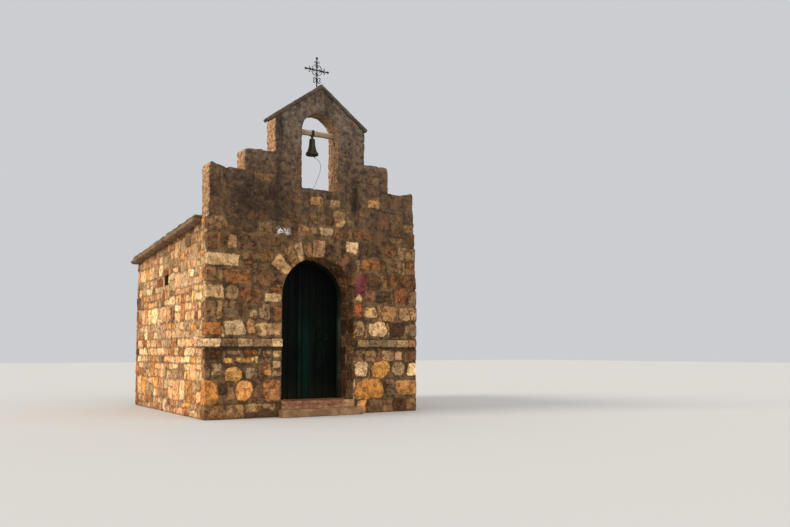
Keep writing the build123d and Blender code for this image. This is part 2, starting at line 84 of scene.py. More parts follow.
VENT_Y, VENT_WIDE, VENT_Z, VENT_TALL = FRONT_Y + 1.988, 0.222, FLOOR_Z + 1.874, 0.168
INSIDE_X, INSIDE_FRONT, INSIDE_BACK = RIGHT_X - 0.45, FRONT_Y + 0.5, BACK_Y - 0.45

# Ends of the sides along the unrolled walls, which start at the back left corner
WIDE, LONG = RIGHT_X - LEFT_X, BACK_Y - FRONT_Y
SIDE_LEFT, FRONT_END = LONG, LONG + WIDE
SIDE_RIGHT, ROUND = LONG * 2 + WIDE, LONG * 2 + WIDE * 2

# Sizes of the masonry
SEAM_Z = 2.86    # where the walls' stones end and the gable's begin
CORNER = 0.02    # how far from a corner its rounding begins
JOINT = 0.006    # half of the joint between two stones
CLEAR = 0.002    # room that the stones leave to the roof slab and the vents
SKIN = 0.0015    # least height of the masonry over the wall behind it
DRAWN_WIDE, DRAWN_TALL = 3.52, 0.9935    # width of the drawn front, and its scale in height

TINTS = {
    "cream": (214, 178, 132),
    "pale": (178, 145, 102),
    "peach": (196, 149, 107),
    "amber": (198, 138, 76),
    "yellow": (206, 152, 84),
    "orange": (150, 102, 62),
    "rust": (118, 80, 54),
    "tan": (144, 110, 76),
    "khaki": (132, 104, 72),
    "brown": (102, 75, 52),
    "umber": (80, 59, 43),
    "grey": (130, 106, 78),
    "lilac": (153, 126, 95),
    "brick": (148, 88, 54),
    "dim": (90, 68, 48),
}


def linear(*display):
    """A display colour, 0 to 255, as the linear colour that a shader takes."""
    shares = [value / 255.0 for value in display]
    return (*(c / 12.92 if c <= 0.04045 else ((c + 0.055) / 1.055) ** 2.4 for c in shares), 1.0)


# Node materials
def connect(tree, socket, value):
    """Link an output to a socket, or set it: three numbers for a colour are a display colour."""
    if isinstance(value, bpy.types.NodeSocket):
        tree.links.new(value, socket)
    else:
        socket.default_value = linear(*value) if socket.type == "RGBA" and len(value) == 3 else value


def add_node(tree, kind, inputs, output=0, **traits):
    """The output of a new node, whose inputs are linked or set."""
    node = tree.nodes.new("ShaderNode" + kind)
    for trait, value in traits.items():
        setattr(node, trait, value)
    for key, value in inputs.items():
        connect(tree, node.inputs[key], value)
    return node.outputs[output] if node.outputs else None


class Finish:
    """A material under construction: each call adds nodes and gives their output."""

    def __init__(self, name, roughness, specular, metallic=0.0):
        self.material = bpy.data.materials.new(name)
        self.material.use_nodes = True
        self.tree = self.material.node_tree
        self.shader = self.tree.nodes["Principled BSDF"].inputs
        for key, value in (("Roughness", roughness), ("Specular IOR Level", specular), ("Metallic", metallic)):
            self.shader[key].default_value = value
        self.place = self.node("TexCoord", {}, "Object")

    def node(self, kind, inputs, output=0, **traits):
        return add_node(self.tree, kind, inputs, output, **traits)

    def stretched(self, x, y, z):
        return self.node("Mapping", {"Vector": self.place, "Scale": (x, y, z)}, "Vector")

    def noise(self, scale, detail=4.0, rough=0.55, vector=None, distortion=0.0):
        return self.node("TexNoise", {"Vector": vector or self.place, "Scale": scale, "Detail": detail,
                                      "Roughness": rough, "Distortion": distortion}, "Fac")

    def cells(self, scale):
        return self.node("TexVoronoi", {"Vector": self.place, "Scale": scale}, "Distance")

    def attribute(self, name, output="Fac"):
        return self.node("Attribute", {}, output, attribute_name=name)

    def axis(self, which, vector=None):
        return self.node("SeparateXYZ", {0: vector or self.place}, which)

    def facing(self, which):
        return self.axis(which, self.node("NewGeometry", {}, "Normal"))

    def math(self, how, a, b=0.0):
        return self.node("Math", {0: a, 1: b}, operation=how)

    def times(self, a, b):
        return self.math("MULTIPLY", a, b)

    def plus(self, a, b):
        return self.math("ADD", a, b)

    def less(self, a, b):
        return self.math("SUBTRACT", a, b)

    def away(self, a, b):
        """How far a lies from b, to either side."""
        return self.math("ABSOLUTE", self.less(a, b))

    def ramp(self, value, low, high, out_low=0.0, out_high=1.0):
        """A smooth step of the value from low to high, as out_low to out_high."""
        return self.node("MapRange", {"Value": value, "From Min": low, "From Max": high, "To Min": out_low,
                                      "To Max": out_high}, "Result", interpolation_type="SMOOTHSTEP")

    def band(self, value, low, high, soft):
        """1 between low and high, fading to 0 over soft."""
        return self.times(self.ramp(value, low - soft, low + soft), self.ramp(value, high + soft, high - soft))

    def mix(self, amount, a, b, how="MIX"):
        return self.node("Mix", {0: amount, 6: a, 7: b}, 2, data_type="RGBA", blend_type=how)

    def tone(self, value, low, high, a, b):
        """Colour a where the value is low, and b where it is high."""
        return self.mix(self.ramp(value, low, high), a, b)

    def stain(self, colour, value, low, high, most, over):
        """The colour, covered by another as the value rises, up to an amount."""
        return self.mix(self.ramp(value, low, high, 0.0, most), colour, over)

    def filtered(self, colour, tint):
        return self.mix(1.0, colour, tint, "MULTIPLY")

    def shade(self, colour, value, low, high, *more):
        """The colour made darker or lighter by a value from 0 to 1, and then by the next one."""
        value = self.ramp(value, 0.25, 0.75, low, high)
        colour = self.node("HueSaturation", {"Color": colour, "Value": value}, "Color")
        return self.shade(colour, *more) if more else colour

    def finish(self, colour, rough=None, bump=None):
        """Join the colour, the roughness (value, low, high) and the bump (height, strength, distance)."""
        connect(self.tree, self.shader["Base Color"], colour)
        if rough:
            value, low, high = rough
            connect(self.tree, self.shader["Roughness"], self.ramp(value, 0.3, 0.7, low, high))
        if bump:
            inputs = dict(zip(("Height", "Strength", "Distance"), bump))
            connect(self.tree, self.shader["Normal"], self.node("Bump", inputs, "Normal"))
        return self.material


def masonry_finish(name, gable=False):
    """Stones and flush mortar, from the tint and the edge distance stored in the mesh."""
    f = Finish(name, 0.92, 0.15)
    tint, edge = f.attribute("tint", "Color"), f.attribute("edge")
    x, y, z, bright = f.axis("X"), f.axis("Y"), f.axis("Z"), f.axis("X", tint)
    # mid and speck also raise the bump: where they shade a colour below, they paint shade into its pits and light
    # onto its bumps
    coarse, mid = f.noise(8.0, 6.0, 0.62), f.noise(25.0, 6.0, 0.66)
    speck, fine = f.noise(46.0, 6.0, 0.70), f.noise(130.0, 4.0, 0.7)
    front, on_front = f.ramp(y, -1.80, -1.88), f.ramp(y, -1.86, -1.895)
    lay = f.plus(edge, f.plus(f.times(f.less(mid, 0.5), 0.055), f.times(f.less(speck, 0.5), 0.028)))

    def level(stray, reach):
        """The height, for an edge that strays up and down."""
        return f.plus(z, f.ramp(stray, 0.3, 0.7, -reach, reach))

    def zone(across, up):
        return f.times(f.band(x, *across), f.band(z, *up))

    # Stone: clouds and brown patches over its own tint, painted highlights, and painted shade in its pits and towards
    # its edges
    colour = f.shade(tint, coarse, 0.70, 1.62)
    colour = f.stain(colour, f.noise(17.0, 6.0, 0.68), 0.46, 0.62, f.ramp(bright, 0.3, 0.6, 0.9, 0.7),
                     f.filtered(tint, (156, 114, 84)))
    # Painted highlights: pale, warmer patches and lighter copies of the tint laid over the stone
    colour = f.stain(colour, f.noise(13.0, 6.0, 0.66, f.stretched(1, 1, 1.6)), 0.52, 0.66, 0.6,
                     f.mix(1.0, colour, (244, 206, 150), "SOFT_LIGHT"))
    colour = f.stain(colour, f.noise(30.0, 5.0, 0.68), 0.55, 0.66, 0.45, f.shade(tint, coarse, 1.5, 2.2))
    # Painted shade: each stone darkens towards its edge, where it meets the joint. Separately, the stone is darker
    # higher up
    colour = f.shade(colour, speck, 0.66, 1.34, f.noise(88.0, 3.0, 0.7), 0.84, 1.16,
                     f.ramp(z, 1.3, 2.5, 0.75, 0.25), 0.80, 1.0, f.ramp(lay, 0.0, 0.024, 0.25, 0.75), 0.80, 1.10)
    colour = f.stain(colour, f.away(f.noise(15.0, 5.0, 0.62, None, 0.6), 0.5), 0.014, 0.002, 0.5, (60, 43, 30))

    # Mortar, smeared over some of the stones, with painted shade along the joints
    bed = f.tone(coarse, 0.38, 0.62, (76, 57, 40), (128, 98, 66))
    pale = f.tone(coarse, 0.38, 0.62, (160, 124, 86), (196, 160, 116))
    bed = f.shade(f.mix(front, pale, bed), speck, 0.70, 1.3, mid, 0.84, 1.14)
    colour = f.tone(lay, -0.002, 0.006, bed, colour)
    smear = f.ramp(f.noise(5.0, 6.0, 0.68), 0.52, 0.64, 0.0, 0.55)
    colour = f.mix(f.times(smear, f.plus(0.35, f.times(front, 0.65))), colour, bed)
    # Painted shade along the joints: a dark line where stone meets mortar, darker on the front than on the sides
    groove = f.times(f.ramp(lay, -0.008, -0.001), f.ramp(lay, 0.008, 0.001))
    depth = f.ramp(coarse, 0.35, 0.65, f.ramp(front, 0.0, 1.0, 0.9, 0.55), f.ramp(front, 0.0, 1.0, 0.4, 0.1))
    colour = f.mix(f.times(groove, depth), colour, f.mix(front, (92, 60, 38), (40, 29, 21)))

    # Weather: a dark crust that grows with height on the front, dust at the foot, and under the eaves grime with
    # painted shade of the roof
    mottle = f.noise(14.0, 6.0, 0.66, None, 0.4)
    crust = f.tone(mottle, 0.32, 0.66, (60, 47, 38), (120, 95, 73))
    crust = f.stain(crust, z, 3.5, 4.5, 0.9, f.tone(mottle, 0.3, 0.70, (70, 60, 51), (132, 116, 100)))
    crust = f.shade(crust, coarse, 0.84, 1.16, mid, 0.82, 1.20, speck, 0.76, 1.28)
    amount = f.times(f.ramp(level(f.noise(2.6, 5.0, 0.6), 0.40), 2.30, 3.5, 0.0, 0.9), f.ramp(y, -1.5, -1.62))
    amount = f.times(amount, f.ramp(coarse, 0.34, 0.66, 1.15, f.ramp(z, 3.3, 4.0, 0.55, 0.9)))
    colour = f.mix(f.times(amount, f.ramp(bright, 0.16, 0.42, 1.0, 0.45)), colour, crust)
    colour = f.stain(colour, level(coarse, 0.12), 0.16, 0.02, 0.5, (112, 76, 50))
    # Under the eaves the walls are darker: partly grime, partly painted shade of the roof's overhang
    eaves = f.times(f.ramp(level(coarse, 0.2), 2.2, 2.9, 0.0, 0.5), f.ramp(y, -1.6, -1.5))
    colour = f.mix(eaves, colour, f.filtered(colour, (170, 146, 122)))

    # Marks on the front: dark runs and patches, a painted shadow under the belt, a white splash, a magenta smear and
    # pale flecks
    streak = f.noise(6.0, 5.0, 0.62, f.stretched(1.0, 1.0, 0.12))
    streak = f.times(f.ramp(streak, 0.52, 0.66, 0.0, 0.65), f.times(on_front, f.ramp(z, 2.5, 3.3)))
    colour = f.mix(streak, colour, (40, 33, 28))
    patch = f.ramp(f.noise(5.0, 5.0, 0.6), 0.36, 0.58, 0.25, 0.85)
    patch = f.times(zone((-1.45, -0.55, 0.25), (2.9, 3.5, 0.22)), patch)
    dark = f.times(f.math("MAXIMUM", zone((0.55, 0.66, 0.05), (3.12, 3.60, 0.14)), patch), on_front)
    colour = f.mix(f.times(dark, f.ramp(mid, 0.32, 0.62, 1.0, 0.66)), colour, (33, 28, 25))
    # Painted shadow: a dark band just under the belt course, where the belt's shadow falls
    under = f.times(f.band(z, BELT_LOW - 0.05, BELT_LOW + 0.02, 0.02), f.ramp(mid, 0.35, 0.6, 0.85, 0.4))
    colour = f.mix(f.times(under, front), colour, (42, 31, 22))
    splash = f.times(zone((-0.71, -0.50, 0.05), (2.67, 2.77, 0.03)), f.ramp(f.noise(16.0, 5.0, 0.66), 0.46, 0.52))
    colour = f.mix(f.times(splash, f.times(on_front, 0.9)), colour, (220, 214, 206))
    smear = f.ramp(f.noise(19.0, 6.0, 0.7, f.stretched(1.0, 1.0, 0.5)), 0.38, 0.62, 0.05, 0.85)
    smear = f.times(zone((0.64, 0.80, 0.07), (1.86, 2.16, 0.08)), smear)
    colour = f.mix(f.times(smear, on_front), colour, (158, 44, 82))
    flecks = f.times(f.ramp(f.cells(30.0), 0.20, 0.08), f.ramp(f.noise(3.5, 3.0), 0.50, 0.64))
    colour = f.mix(f.times(flecks, f.ramp(z, 2.0, 3.0, 0.05, 0.6)), colour, (190, 180, 160))
    if gable:
        colour = f.stain(colour, f.facing("Z"), 0.45, 0.85, 0.6, (108, 94, 76))
        colour = f.stain(colour, f.facing("Y"), 0.5, 0.9, 0.5, (124, 96, 70))
        # Painted sunlight: faces that look to the left are lighter and warmer, as if lit from the left
        colour = f.stain(colour, f.facing("X"), -0.45, -0.9, f.ramp(coarse, 0.36, 0.62, 0.55, 0.9),
                         f.tone(mid, 0.4, 0.6, (132, 96, 66), (212, 164, 120)))
    height = f.plus(f.plus(f.times(mid, 0.5), f.times(speck, 0.45)), f.times(fine, 0.15))
    return f.finish(colour, (fine, 0.84, 1.0), (height, 1.0, 0.012))


def mortar_finish():
    """Rough mortar outside, old limewash on the room's faces."""
    f = Finish("Mortar bed", 0.95, 0.15)
    grain, y = f.noise(120.0, 5.0, 0.7), f.axis("Y")
    colour = f.tone(f.noise(5.0, 5.0, 0.6), 0.35, 0.65, (84, 64, 48), (116, 92, 70))
    colour = f.shade(colour, grain, 0.75, 1.2)
    inside = f.times(f.ramp(f.math("ABSOLUTE", f.axis("X")), INSIDE_X + 0.0005, INSIDE_X + 0.0025, 1.0, 0.0),
                     f.times(f.ramp(y, INSIDE_FRONT - 0.002, INSIDE_FRONT - 0.0005),
                             f.ramp(y, INSIDE_BACK + 0.0005, INSIDE_BACK + 0.002, 1.0, 0.0)))
    lime = f.tone(f.noise(3.0, 6.0, 0.65), 0.4, 0.66, (196, 186, 168), (150, 134, 112))
    return f.finish(f.mix(inside, colour, lime), (grain, 0.86, 1.0), (grain, 0.8, 0.006))


def belt_finish():
    """Long hewn stones with mortar between them and smeared over them, and painted shade on their undersides."""
    f = Finish("Belt stones", 0.9, 0.18)
    tint, mid, speck = f.attribute("tint", "Color"), f.noise(24.0, 6.0, 0.66), f.noise(60.0, 5.0, 0.72)
    colour = f.shade(tint, f.noise(12.0, 5.0, 0.6), 0.76, 1.5)
    colour = f.stain(colour, mid, 0.46, 0.60, 0.8, f.filtered(tint, (150, 116, 90)))
    colour = f.shade(colour, speck, 0.68, 1.36)
    lay = f.plus(f.attribute("edge"), f.times(f.less(mid, 0.5), 0.034))
    bed = f.shade((92, 70, 50), speck, 0.6, 1.3)
    colour = f.tone(lay, -0.003, 0.004, bed, colour)
    colour = f.stain(colour, f.noise(6.0, 5.0, 0.66), 0.52, 0.64, 0.55, bed)
    # Painted shade: faces that look down, under the belt's nose, are darkened nearly to black
    colour = f.stain(colour, f.facing("Z"), -0.3, -0.8, 0.7, (36, 27, 20))
    return f.finish(colour, (speck, 0.8, 0.98), (f.plus(mid, speck), 0.9, 0.008))


def slab_finish(name, low, high, warm, speckle=(150, 140, 120)):
    """Cast or hewn stone: two tones in clouds, a warmer stain, speckles and grain."""
    f = Finish(name, 0.92, 0.2)
    cloud, grain = f.noise(4.5, 6.0, 0.62), f.noise(70.0, 6.0, 0.7)
    colour = f.tone(cloud, 0.36, 0.64, low, high)
    colour = f.stain(colour, f.noise(13.0, 5.0, 0.6), 0.54, 0.7, 0.65, warm)
    spots = f.times(f.ramp(f.cells(55.0), 0.3, 0.12), f.ramp(f.noise(7.0, 3.0), 0.55, 0.68))
    colour = f.shade(f.mix(f.times(spots, 0.5), colour, speckle), grain, 0.76, 1.2)
    return f.finish(colour, (grain, 0.82, 1.0), (f.plus(cloud, f.times(grain, 0.5)), 0.7, 0.008))


def step_finish():
    """Pale stone with worn red floor paint on its tread and nose; lower down it is darker, partly dust, partly
    painted shade.
    """
    f = Finish("Painted step stone", 0.85, 0.25)
    cloud, grain, z = f.noise(6.0, 5.0, 0.6), f.noise(90.0, 6.0, 0.7), f.axis("Z")
    stone = f.tone(cloud, 0.36, 0.64, (156, 116, 80), (196, 154, 112))
    paint = f.tone(f.noise(16.0, 6.0, 0.7), 0.42, 0.6, (132, 80, 58), (164, 112, 82))
    ends = f.ramp(f.away(f.axis("X"), DOOR_X - 0.06), 0.28, 0.56, 0.0, -0.14)
    worn_off = f.plus(f.plus(f.noise(9.0, 6.0, 0.68), f.ramp(z, 0.06, 0.17, -0.3, 0.12)), ends)
    # Below the threshold's tread the colour is darker: partly dust, partly painted shade
    colour = f.shade(f.tone(worn_off, 0.50, 0.57, stone, paint), grain, 0.78, 1.18, f.ramp(z, 0.09, 0.14), 0.74, 1.0)
    return f.finish(colour, (grain, 0.7, 0.95), (f.plus(cloud, grain), 0.6, 0.006))


def moss_finish():
    """Weathered concrete with moss, damp and dirt that ran down to the back."""
    f = Finish("Mossy roof cap", 0.96, 0.15)
    fine = f.noise(34.0, 6.0, 0.7)
    colour = f.tone(f.noise(1.7, 6.0, 0.65), 0.36, 0.62, (134, 119, 94), (164, 149, 120))
    moss = f.ramp(f.plus(f.noise(19.0, 7.0, 0.74), f.times(f.noise(0.9, 3.0), 0.5)), 0.74, 0.88)
    colour = f.mix(f.times(moss, 0.7), colour, (104, 99, 62))
    colour = f.stain(colour, f.noise(3.1, 7.0, 0.72), 0.54, 0.7, 0.5, (98, 84, 68))
    colour = f.stain(colour, f.noise(1.3, 6.0, 0.7, f.stretched(2.2, 0.4, 1.0)), 0.52, 0.66, 0.4, (84, 76, 66))
    return f.finish(f.shade(colour, fine, 0.72, 1.2), None, (f.plus(fine, moss), 0.9, 0.012))


def paint_finish(name, colour_a, colour_b, chips, gloss, boards=0.0):
    """Old oil paint on boards: brush marks, scuffs, grime towards the floor and board joints, painted shade near
    black higher up, and on the door a painted reflection.
    """
    f = Finish(name, gloss, 0.05)
    x, z, brush = f.axis("X"), f.axis("Z"), f.noise(30.0, 4.0, 0.6, f.stretched(1.0, 1.0, 0.06))
    colour = f.shade(f.tone(f.noise(3.0, 5.0, 0.6), 0.35, 0.65, colour_a, colour_b), brush, 0.75, 1.3)
    scuff = f.times(f.ramp(f.noise(26.0, 6.0, 0.7), 0.60, 0.67), f.ramp(f.noise(2.3, 2.0), 0.52, 0.62))
    handled = f.times(f.ramp(f.away(x, 0.31), 0.03, 0.14, 1.0, 0.0), f.ramp(f.away(z, 1.02), 0.1, 0.42, 1.0, 0.0))
    handled = f.times(handled, f.ramp(f.noise(40.0, 5.0, 0.7), 0.58, 0.64))
    colour = f.mix(f.math("MAXIMUM", f.times(scuff, chips), f.times(handled, 0.45)), colour, (62, 84, 70))
    colour = f.stain(colour, z, 0.62, 0.22, 0.35, (44, 40, 30))
    # Painted shade: near black higher up, where the deep arch shades the doorway
    colour = f.stain(colour, z, 1.35, 1.95, 0.8, (6, 9, 7))
    height = brush
    if boards:
        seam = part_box("door_strip")[1][0]
        # Painted reflection: a brighter green band beside the seam, lower down, where the glossy leaf mirrors the
        # bright outside
        green = f.times(f.band(x, seam + 0.035, seam + 0.17, 0.055), f.ramp(z, 1.75, 1.05))
        colour = f.mix(f.times(green, 0.8), colour, f.shade((5, 35, 26), brush, 0.75, 1.25))
        joint = f.ramp(f.away(f.math("FRACT", f.math("DIVIDE", x, boards)), 0.5), 0.035, 0.012)
        colour = f.mix(f.times(joint, 0.75), colour, (3, 6, 4))
        height = f.less(f.times(brush, 0.3), joint)
    return f.finish(colour, (brush, gloss - 0.08, gloss + 0.16), (height, 0.5, 0.004))


def iron_finish():
    """Black iron with rust and dust."""
    f = Finish("Wrought iron", 0.62, 0.4, 0.35)
    rust = f.noise(40.0, 6.0, 0.65)
    colour = f.tone(rust, 0.45, 0.68, (30, 28, 27), (66, 44, 32))
    colour = f.stain(colour, f.noise(90.0, 5.0), 0.6, 0.7, 0.4, (84, 74, 66))
    return f.finish(colour, (rust, 0.5, 0.9), (rust, 0.5, 0.0015))


def wood_finish():
    """Grey bleached wood, with its grain along the beam."""
    f = Finish("Weathered beam", 0.88, 0.2)
    grain = f.noise(16.0, 6.0, 0.6, f.stretched(0.12, 1.0, 1.0), 0.6)
    fibre = f.noise(70.0, 5.0, 0.6, f.stretched(0.06, 1.0, 1.0))
    colour = f.tone(grain, 0.38, 0.62, (142, 118, 92), (194, 170, 138))
    colour = f.stain(colour, f.noise(5.0, 4.0), 0.56, 0.7, 0.6, (112, 98, 82))
    return f.finish(f.shade(colour, fibre, 0.76, 1.16), None, (fibre, 0.7, 0.003))


def bronze_finish():
    """Dark bronze with green runs."""
    f = Finish("Old bell bronze", 0.55, 0.4, 0.6)
    cloud = f.noise(14.0, 6.0, 0.62)
    colour = f.tone(cloud, 0.36, 0.64, (46, 44, 38), (78, 72, 58))
    colour = f.stain(colour, f.noise(24.0, 5.0, 0.6, f.stretched(1.0, 1.0, 0.16)), 0.55, 0.68, 0.5, (76, 94, 82))
    return f.finish(colour, (cloud, 0.45, 0.8), (cloud, 0.3, 0.0015))


def rope_finish():
    """Grey fibre."""
    f = Finish("Bell rope fibre", 0.94, 0.15)
    strand = f.noise(420.0, 3.0, 0.6)
    return f.finish(f.tone(strand, 0.35, 0.65, (104, 100, 90), (168, 160, 142)), None, (strand, 0.7, 0.001))


# Pieces
def link(name, data):
    """A new object in the scene."""
    obj = bpy.data.objects.new(name, data)
    bpy.context.scene.collection.objects.link(obj)
    return obj


def piece(name, mesh, material, body="root"):
    """A new piece of the chapel, in its finish and on its body."""
    mesh.materials.clear()
    mesh.materials.append(material)
    obj = link(name, mesh)
    if body:
        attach(obj, body)
    return obj


def opened(*meshes):
    """The meshes as one that can be edited."""
    bm = bmesh.new()
    for mesh in meshes:
        bm.from_mesh(mesh)
    return bm


def stored(bm, mesh):
    """The mesh, once what was edited is written into it."""
    bm.to_mesh(mesh)
    bm.free()
    return mesh


def smooth(mesh):
    for face in mesh.polygons:
        face.use_smooth = True
    return mesh


def settled(helper):
    """The mesh that a helper's modifiers or curve give. The helper goes."""
    mesh = bpy.data.meshes.new_from_object(helper.evaluated_get(bpy.context.evaluated_depsgraph_get()))
    bpy.data.objects.remove(helper)
    return mesh


def points_of(mesh, what="co"):
    """The places of a mesh's points, or their normals, one row each."""
    values = np.empty(len(mesh.vertices) * 3)
    mesh.vertices.foreach_get(what, values)
    return values.reshape(-1, 3)


def bridge(bm, one, two):
    """Faces between two rings of points. Either ring may be a single point."""
    count = max(len(one), len(two))
    for k, n in zip(range(count), (*range(1, count), 0)):
        corners = one[k % len(one)], one[n % len(one)], two[n % len(two)], two[k % len(two)]
        bm.faces.new(list(dict.fromkeys(corners)))


# Masonry
def lean(z):
    """How far the front's corners stand in at height z: left and right."""
    left = max(0.0, z - BELT_TOP) / (GABLE_LOW[2] - BELT_TOP)
    right = max(0.0, z - SPRING_Z) / (GABLE_LOW[2] - SPRING_Z)
    return (GABLE_LOW[0] - LEFT_X) * left, (RIGHT_X - GABLE_HIGH[0]) * right


def front_x(u, z):
    left, right = lean(z)
    return LEFT_X + left + (u - SIDE_LEFT) * (WIDE - left - right) / WIDE


def front_u(x, z):
    left, right = lean(z)
    return SIDE_LEFT + (x - LEFT_X - left) * WIDE / (WIDE - left - right)


def drawn_u(along):
    """Where a drawn stone lies: from the left corner along the front, or back from it along the left side."""
    return SIDE_LEFT + along * (WIDE / DRAWN_WIDE if along > 0 else 1.0)


def around(u, z, h):
    """The outer wall face unrolled: u runs from the back left corner along the left side,
    the front, the right side and the back, and h stands out from it."""
    left, right = lean(z)
    x0, x1 = LEFT_X + left, RIGHT_X - right
    u = u % ROUND
    for corner, cx, cy, start in ((SIDE_LEFT, x0, FRONT_Y, 180), (FRONT_END, x1, FRONT_Y, 270),
                                  (SIDE_RIGHT, x1, BACK_Y, 0), (ROUND, x0, BACK_Y, 90), (0.0, x0, BACK_Y, 90)):
        s = u - corner
        if abs(s) < CORNER:
            a = math.radians(start + 45 * (s / CORNER + 1))
            c, d = math.cos(a), math.sin(a)
            out = CORNER / max(abs(c), abs(d)) + h
            return (cx + math.copysign(CORNER, -cx) + out * c, cy + math.copysign(CORNER, -cy) + out * d, z)
    if u < SIDE_LEFT:
        return (x0 - h, BACK_Y - u, z)
    if u < FRONT_END:
        return (front_x(u, z), FRONT_Y - h, z)
    if u < SIDE_RIGHT:
        return (x1 + h, FRONT_Y + (u - FRONT_END), z)
    return (x1 - (u - SIDE_RIGHT) * (x1 - x0) / WIDE, BACK_Y + h, z)


def wall_top(u):
    """The height where the stones stop: under the roof slab, or at the seam with the gable."""
    u = u % ROUND
    y = BACK_Y - u if u < SIDE_LEFT else FRONT_Y if u < FRONT_END else min(BACK_Y, FRONT_Y + u - FRONT_END)
    if y < GABLE_HIGH[1] - 0.004:
        return SEAM_Z
    return SLAB_LOW[2] + (SLAB_HIGH[1] - y) * ROOF_SLOPE - CLEAR


def frayed(s):
    """How far the doorway's worn edge stands into the opening, along its outline."""
    return 0.002 + 0.007 * (0.5 + 0.5 * noise.noise((s * 11.0, 3.0, 7.0)))


def outline_length(x, z):
    """The length along the doorway's outline up to a point: up the left jamb, over, and down."""
    if z <= SPRING_Z:
        return z - FLOOR_Z if x < DOOR_X else OUTLINE - (z - FLOOR_Z)
    return JAMB + DOOR_R * (math.pi - math.atan2(z - SPRING_Z, x - DOOR_X))


# Each of these two gives a point's place, its room to the edge, and whether it had to be moved
def keep_front(u, v):
    """Keep a point of the front out of the doorway."""
    x = front_x(u, v)
    dx, dz = x - DOOR_X, max(0.0, v - SPRING_Z)
    far = max(1e-6, math.hypot(dx, dz))
    reach = DOOR_R - frayed(outline_length(x, v))
    if far >= reach + 0.001:
        return u, v, far - reach, False
    if dz:
        return front_u(DOOR_X + dx * (reach / far), v), SPRING_Z + dz * (reach / far), 0.0, True
    return front_u(DOOR_X + math.copysign(reach, dx), v), v, 0.0, True


def keep_side(u, v):
    """Keep a point of a side wall out of the vent and under the roof."""
    w = u % ROUND
    y = BACK_Y - w if w < SIDE_LEFT else FRONT_Y + w - FRONT_END
    top = wall_top(u)
    if v > top:
        return u, top, 0.0, True
    if w >= SIDE_RIGHT or SIDE_LEFT <= w <= FRONT_END:
        return u, v, 1.0, False
    half, tall = VENT_WIDE / 2 - CLEAR, VENT_TALL / 2 - CLEAR
    dy, dz = y - VENT_Y, v - VENT_Z
    room = max(abs(dy) - half, abs(dz) - tall)
    if room >= 0.0:
        return u, v, room, False
    if half - abs(dy) < tall - abs(dz):
        shift = math.copysign(half, dy) - dy
        return (u - shift if w < SIDE_LEFT else u + shift), v, 0.0, True
    return u, VENT_Z + math.copysign(tall, dz), 0.0, True


class Field:
    """Stones that share one unrolled face, each a worn block with its own tint, tilt and corners."""

    def __init__(self, seed):
        self.random = random.Random(seed)
        self.stones = []

    def add(self, u0, u1, v0, v1, tint, square=3.5, turn=None, taper=0.0, proud=None):
        r = self.random
        half_u, half_v = (u1 - u0) / 2, (v1 - v0) / 2
        small = min(half_u, half_v)
        value = r.uniform(0.84, 1.18)
        warm = r.uniform(-3, 7)
        colour = linear(*(max(8, min(246, c * value + w)) for c, w in zip(TINTS[tint], (warm, 0, -warm))))
        turn = r.uniform(-0.07, 0.07) if turn is None else turn
        self.stones.append((
            (u0 + u1) / 2, (v0 + v1) / 2, half_u, half_v, math.cos(turn), math.sin(turn),
            small * max(0.12, min(0.9, (4.9 - square) / 3.2)) * r.uniform(0.7, 1.15),
            taper + r.uniform(-0.13, 0.13), proud or r.uniform(0.006, 0.013),
            r.uniform(-0.05, 0.05), r.uniform(-0.06, 0.05), r.uniform(-0.14, 0.14), colour[:3]))

    def close_round(self):
        """Repeat the stones at the strip's two ends, which meet at the back left corner."""
        for stone in list(self.stones):
            if stone[0] < 0.4:
                self.stones.append((stone[0] + ROUND, *stone[1:]))
            elif stone[0] > ROUND - 0.4:
                self.stones.append((stone[0] - ROUND, *stone[1:]))

    def measure(self, u, v, drift):
        """For each place: how far it lies inside a stone, the tint of the nearest stone, and its lift."""
        wu, wv = u + drift[0], v + drift[1]
        best, second = np.full(len(u), -0.2), np.full(len(u), -0.2)
        tint, lift = np.zeros((len(u), 3)), np.zeros(len(u))
        low_u, high_u, low_v, high_v = wu.min() - 0.3, wu.max() + 0.3, wv.min() - 0.3, wv.max() + 0.3
        for su, sv, half_u, half_v, c, s, round_off, taper, proud, tilt_u, tilt_v, shear, colour in self.stones:
            if not (low_u < su < high_u and low_v < sv < high_v):
                continue
            reach = math.hypot(half_u, half_v) + 0.03
            near = np.nonzero((np.abs(wu - su) < reach) & (np.abs(wv - sv) < reach))[0]
            if not len(near):
                continue
            pu, pv = wu[near] - su, wv[near] - sv
            lv = pv * c - pu * s
            lu = pu * c + pv * s + lv * shear
            qu = np.abs(lu) - (half_u * (1.0 + taper * lv / half_v) - round_off)
            qv = np.abs(lv) - (half_v - round_off)
            d = round_off - np.hypot(np.maximum(qu, 0), np.maximum(qv, 0)) - np.minimum(np.maximum(qu, qv), 0)
            won = d > best[near]
            second[near] = np.where(won, best[near], np.maximum(second[near], d))
            best[near] = np.where(won, d, best[near])
            mine = near[won]
            tint[mine] = colour
            lift[mine] = proud + lu[won] * tilt_u + lv[won] * tilt_v
        edge = np.minimum(best, (best - second) / 2 - 0.002)
        return edge, tint, lift


def wander(spots, waver=1.0):
    """How far the outlines of the stones stray at each point, along and up."""
    drift = np.array([noise.noise_vector((a * 7.0, b * 7.0, c * 7.0)) for a, b, c in spots])
    fine = np.array([noise.noise_vector((a * 23.0, b * 23.0, c * 23.0 + 8.5)) for a, b, c in spots])
    return (drift[:, 0] * 0.021 + fine[:, 0] * 0.010) * waver, (drift[:, 1] * 0.018 + fine[:, 1] * 0.010) * waver


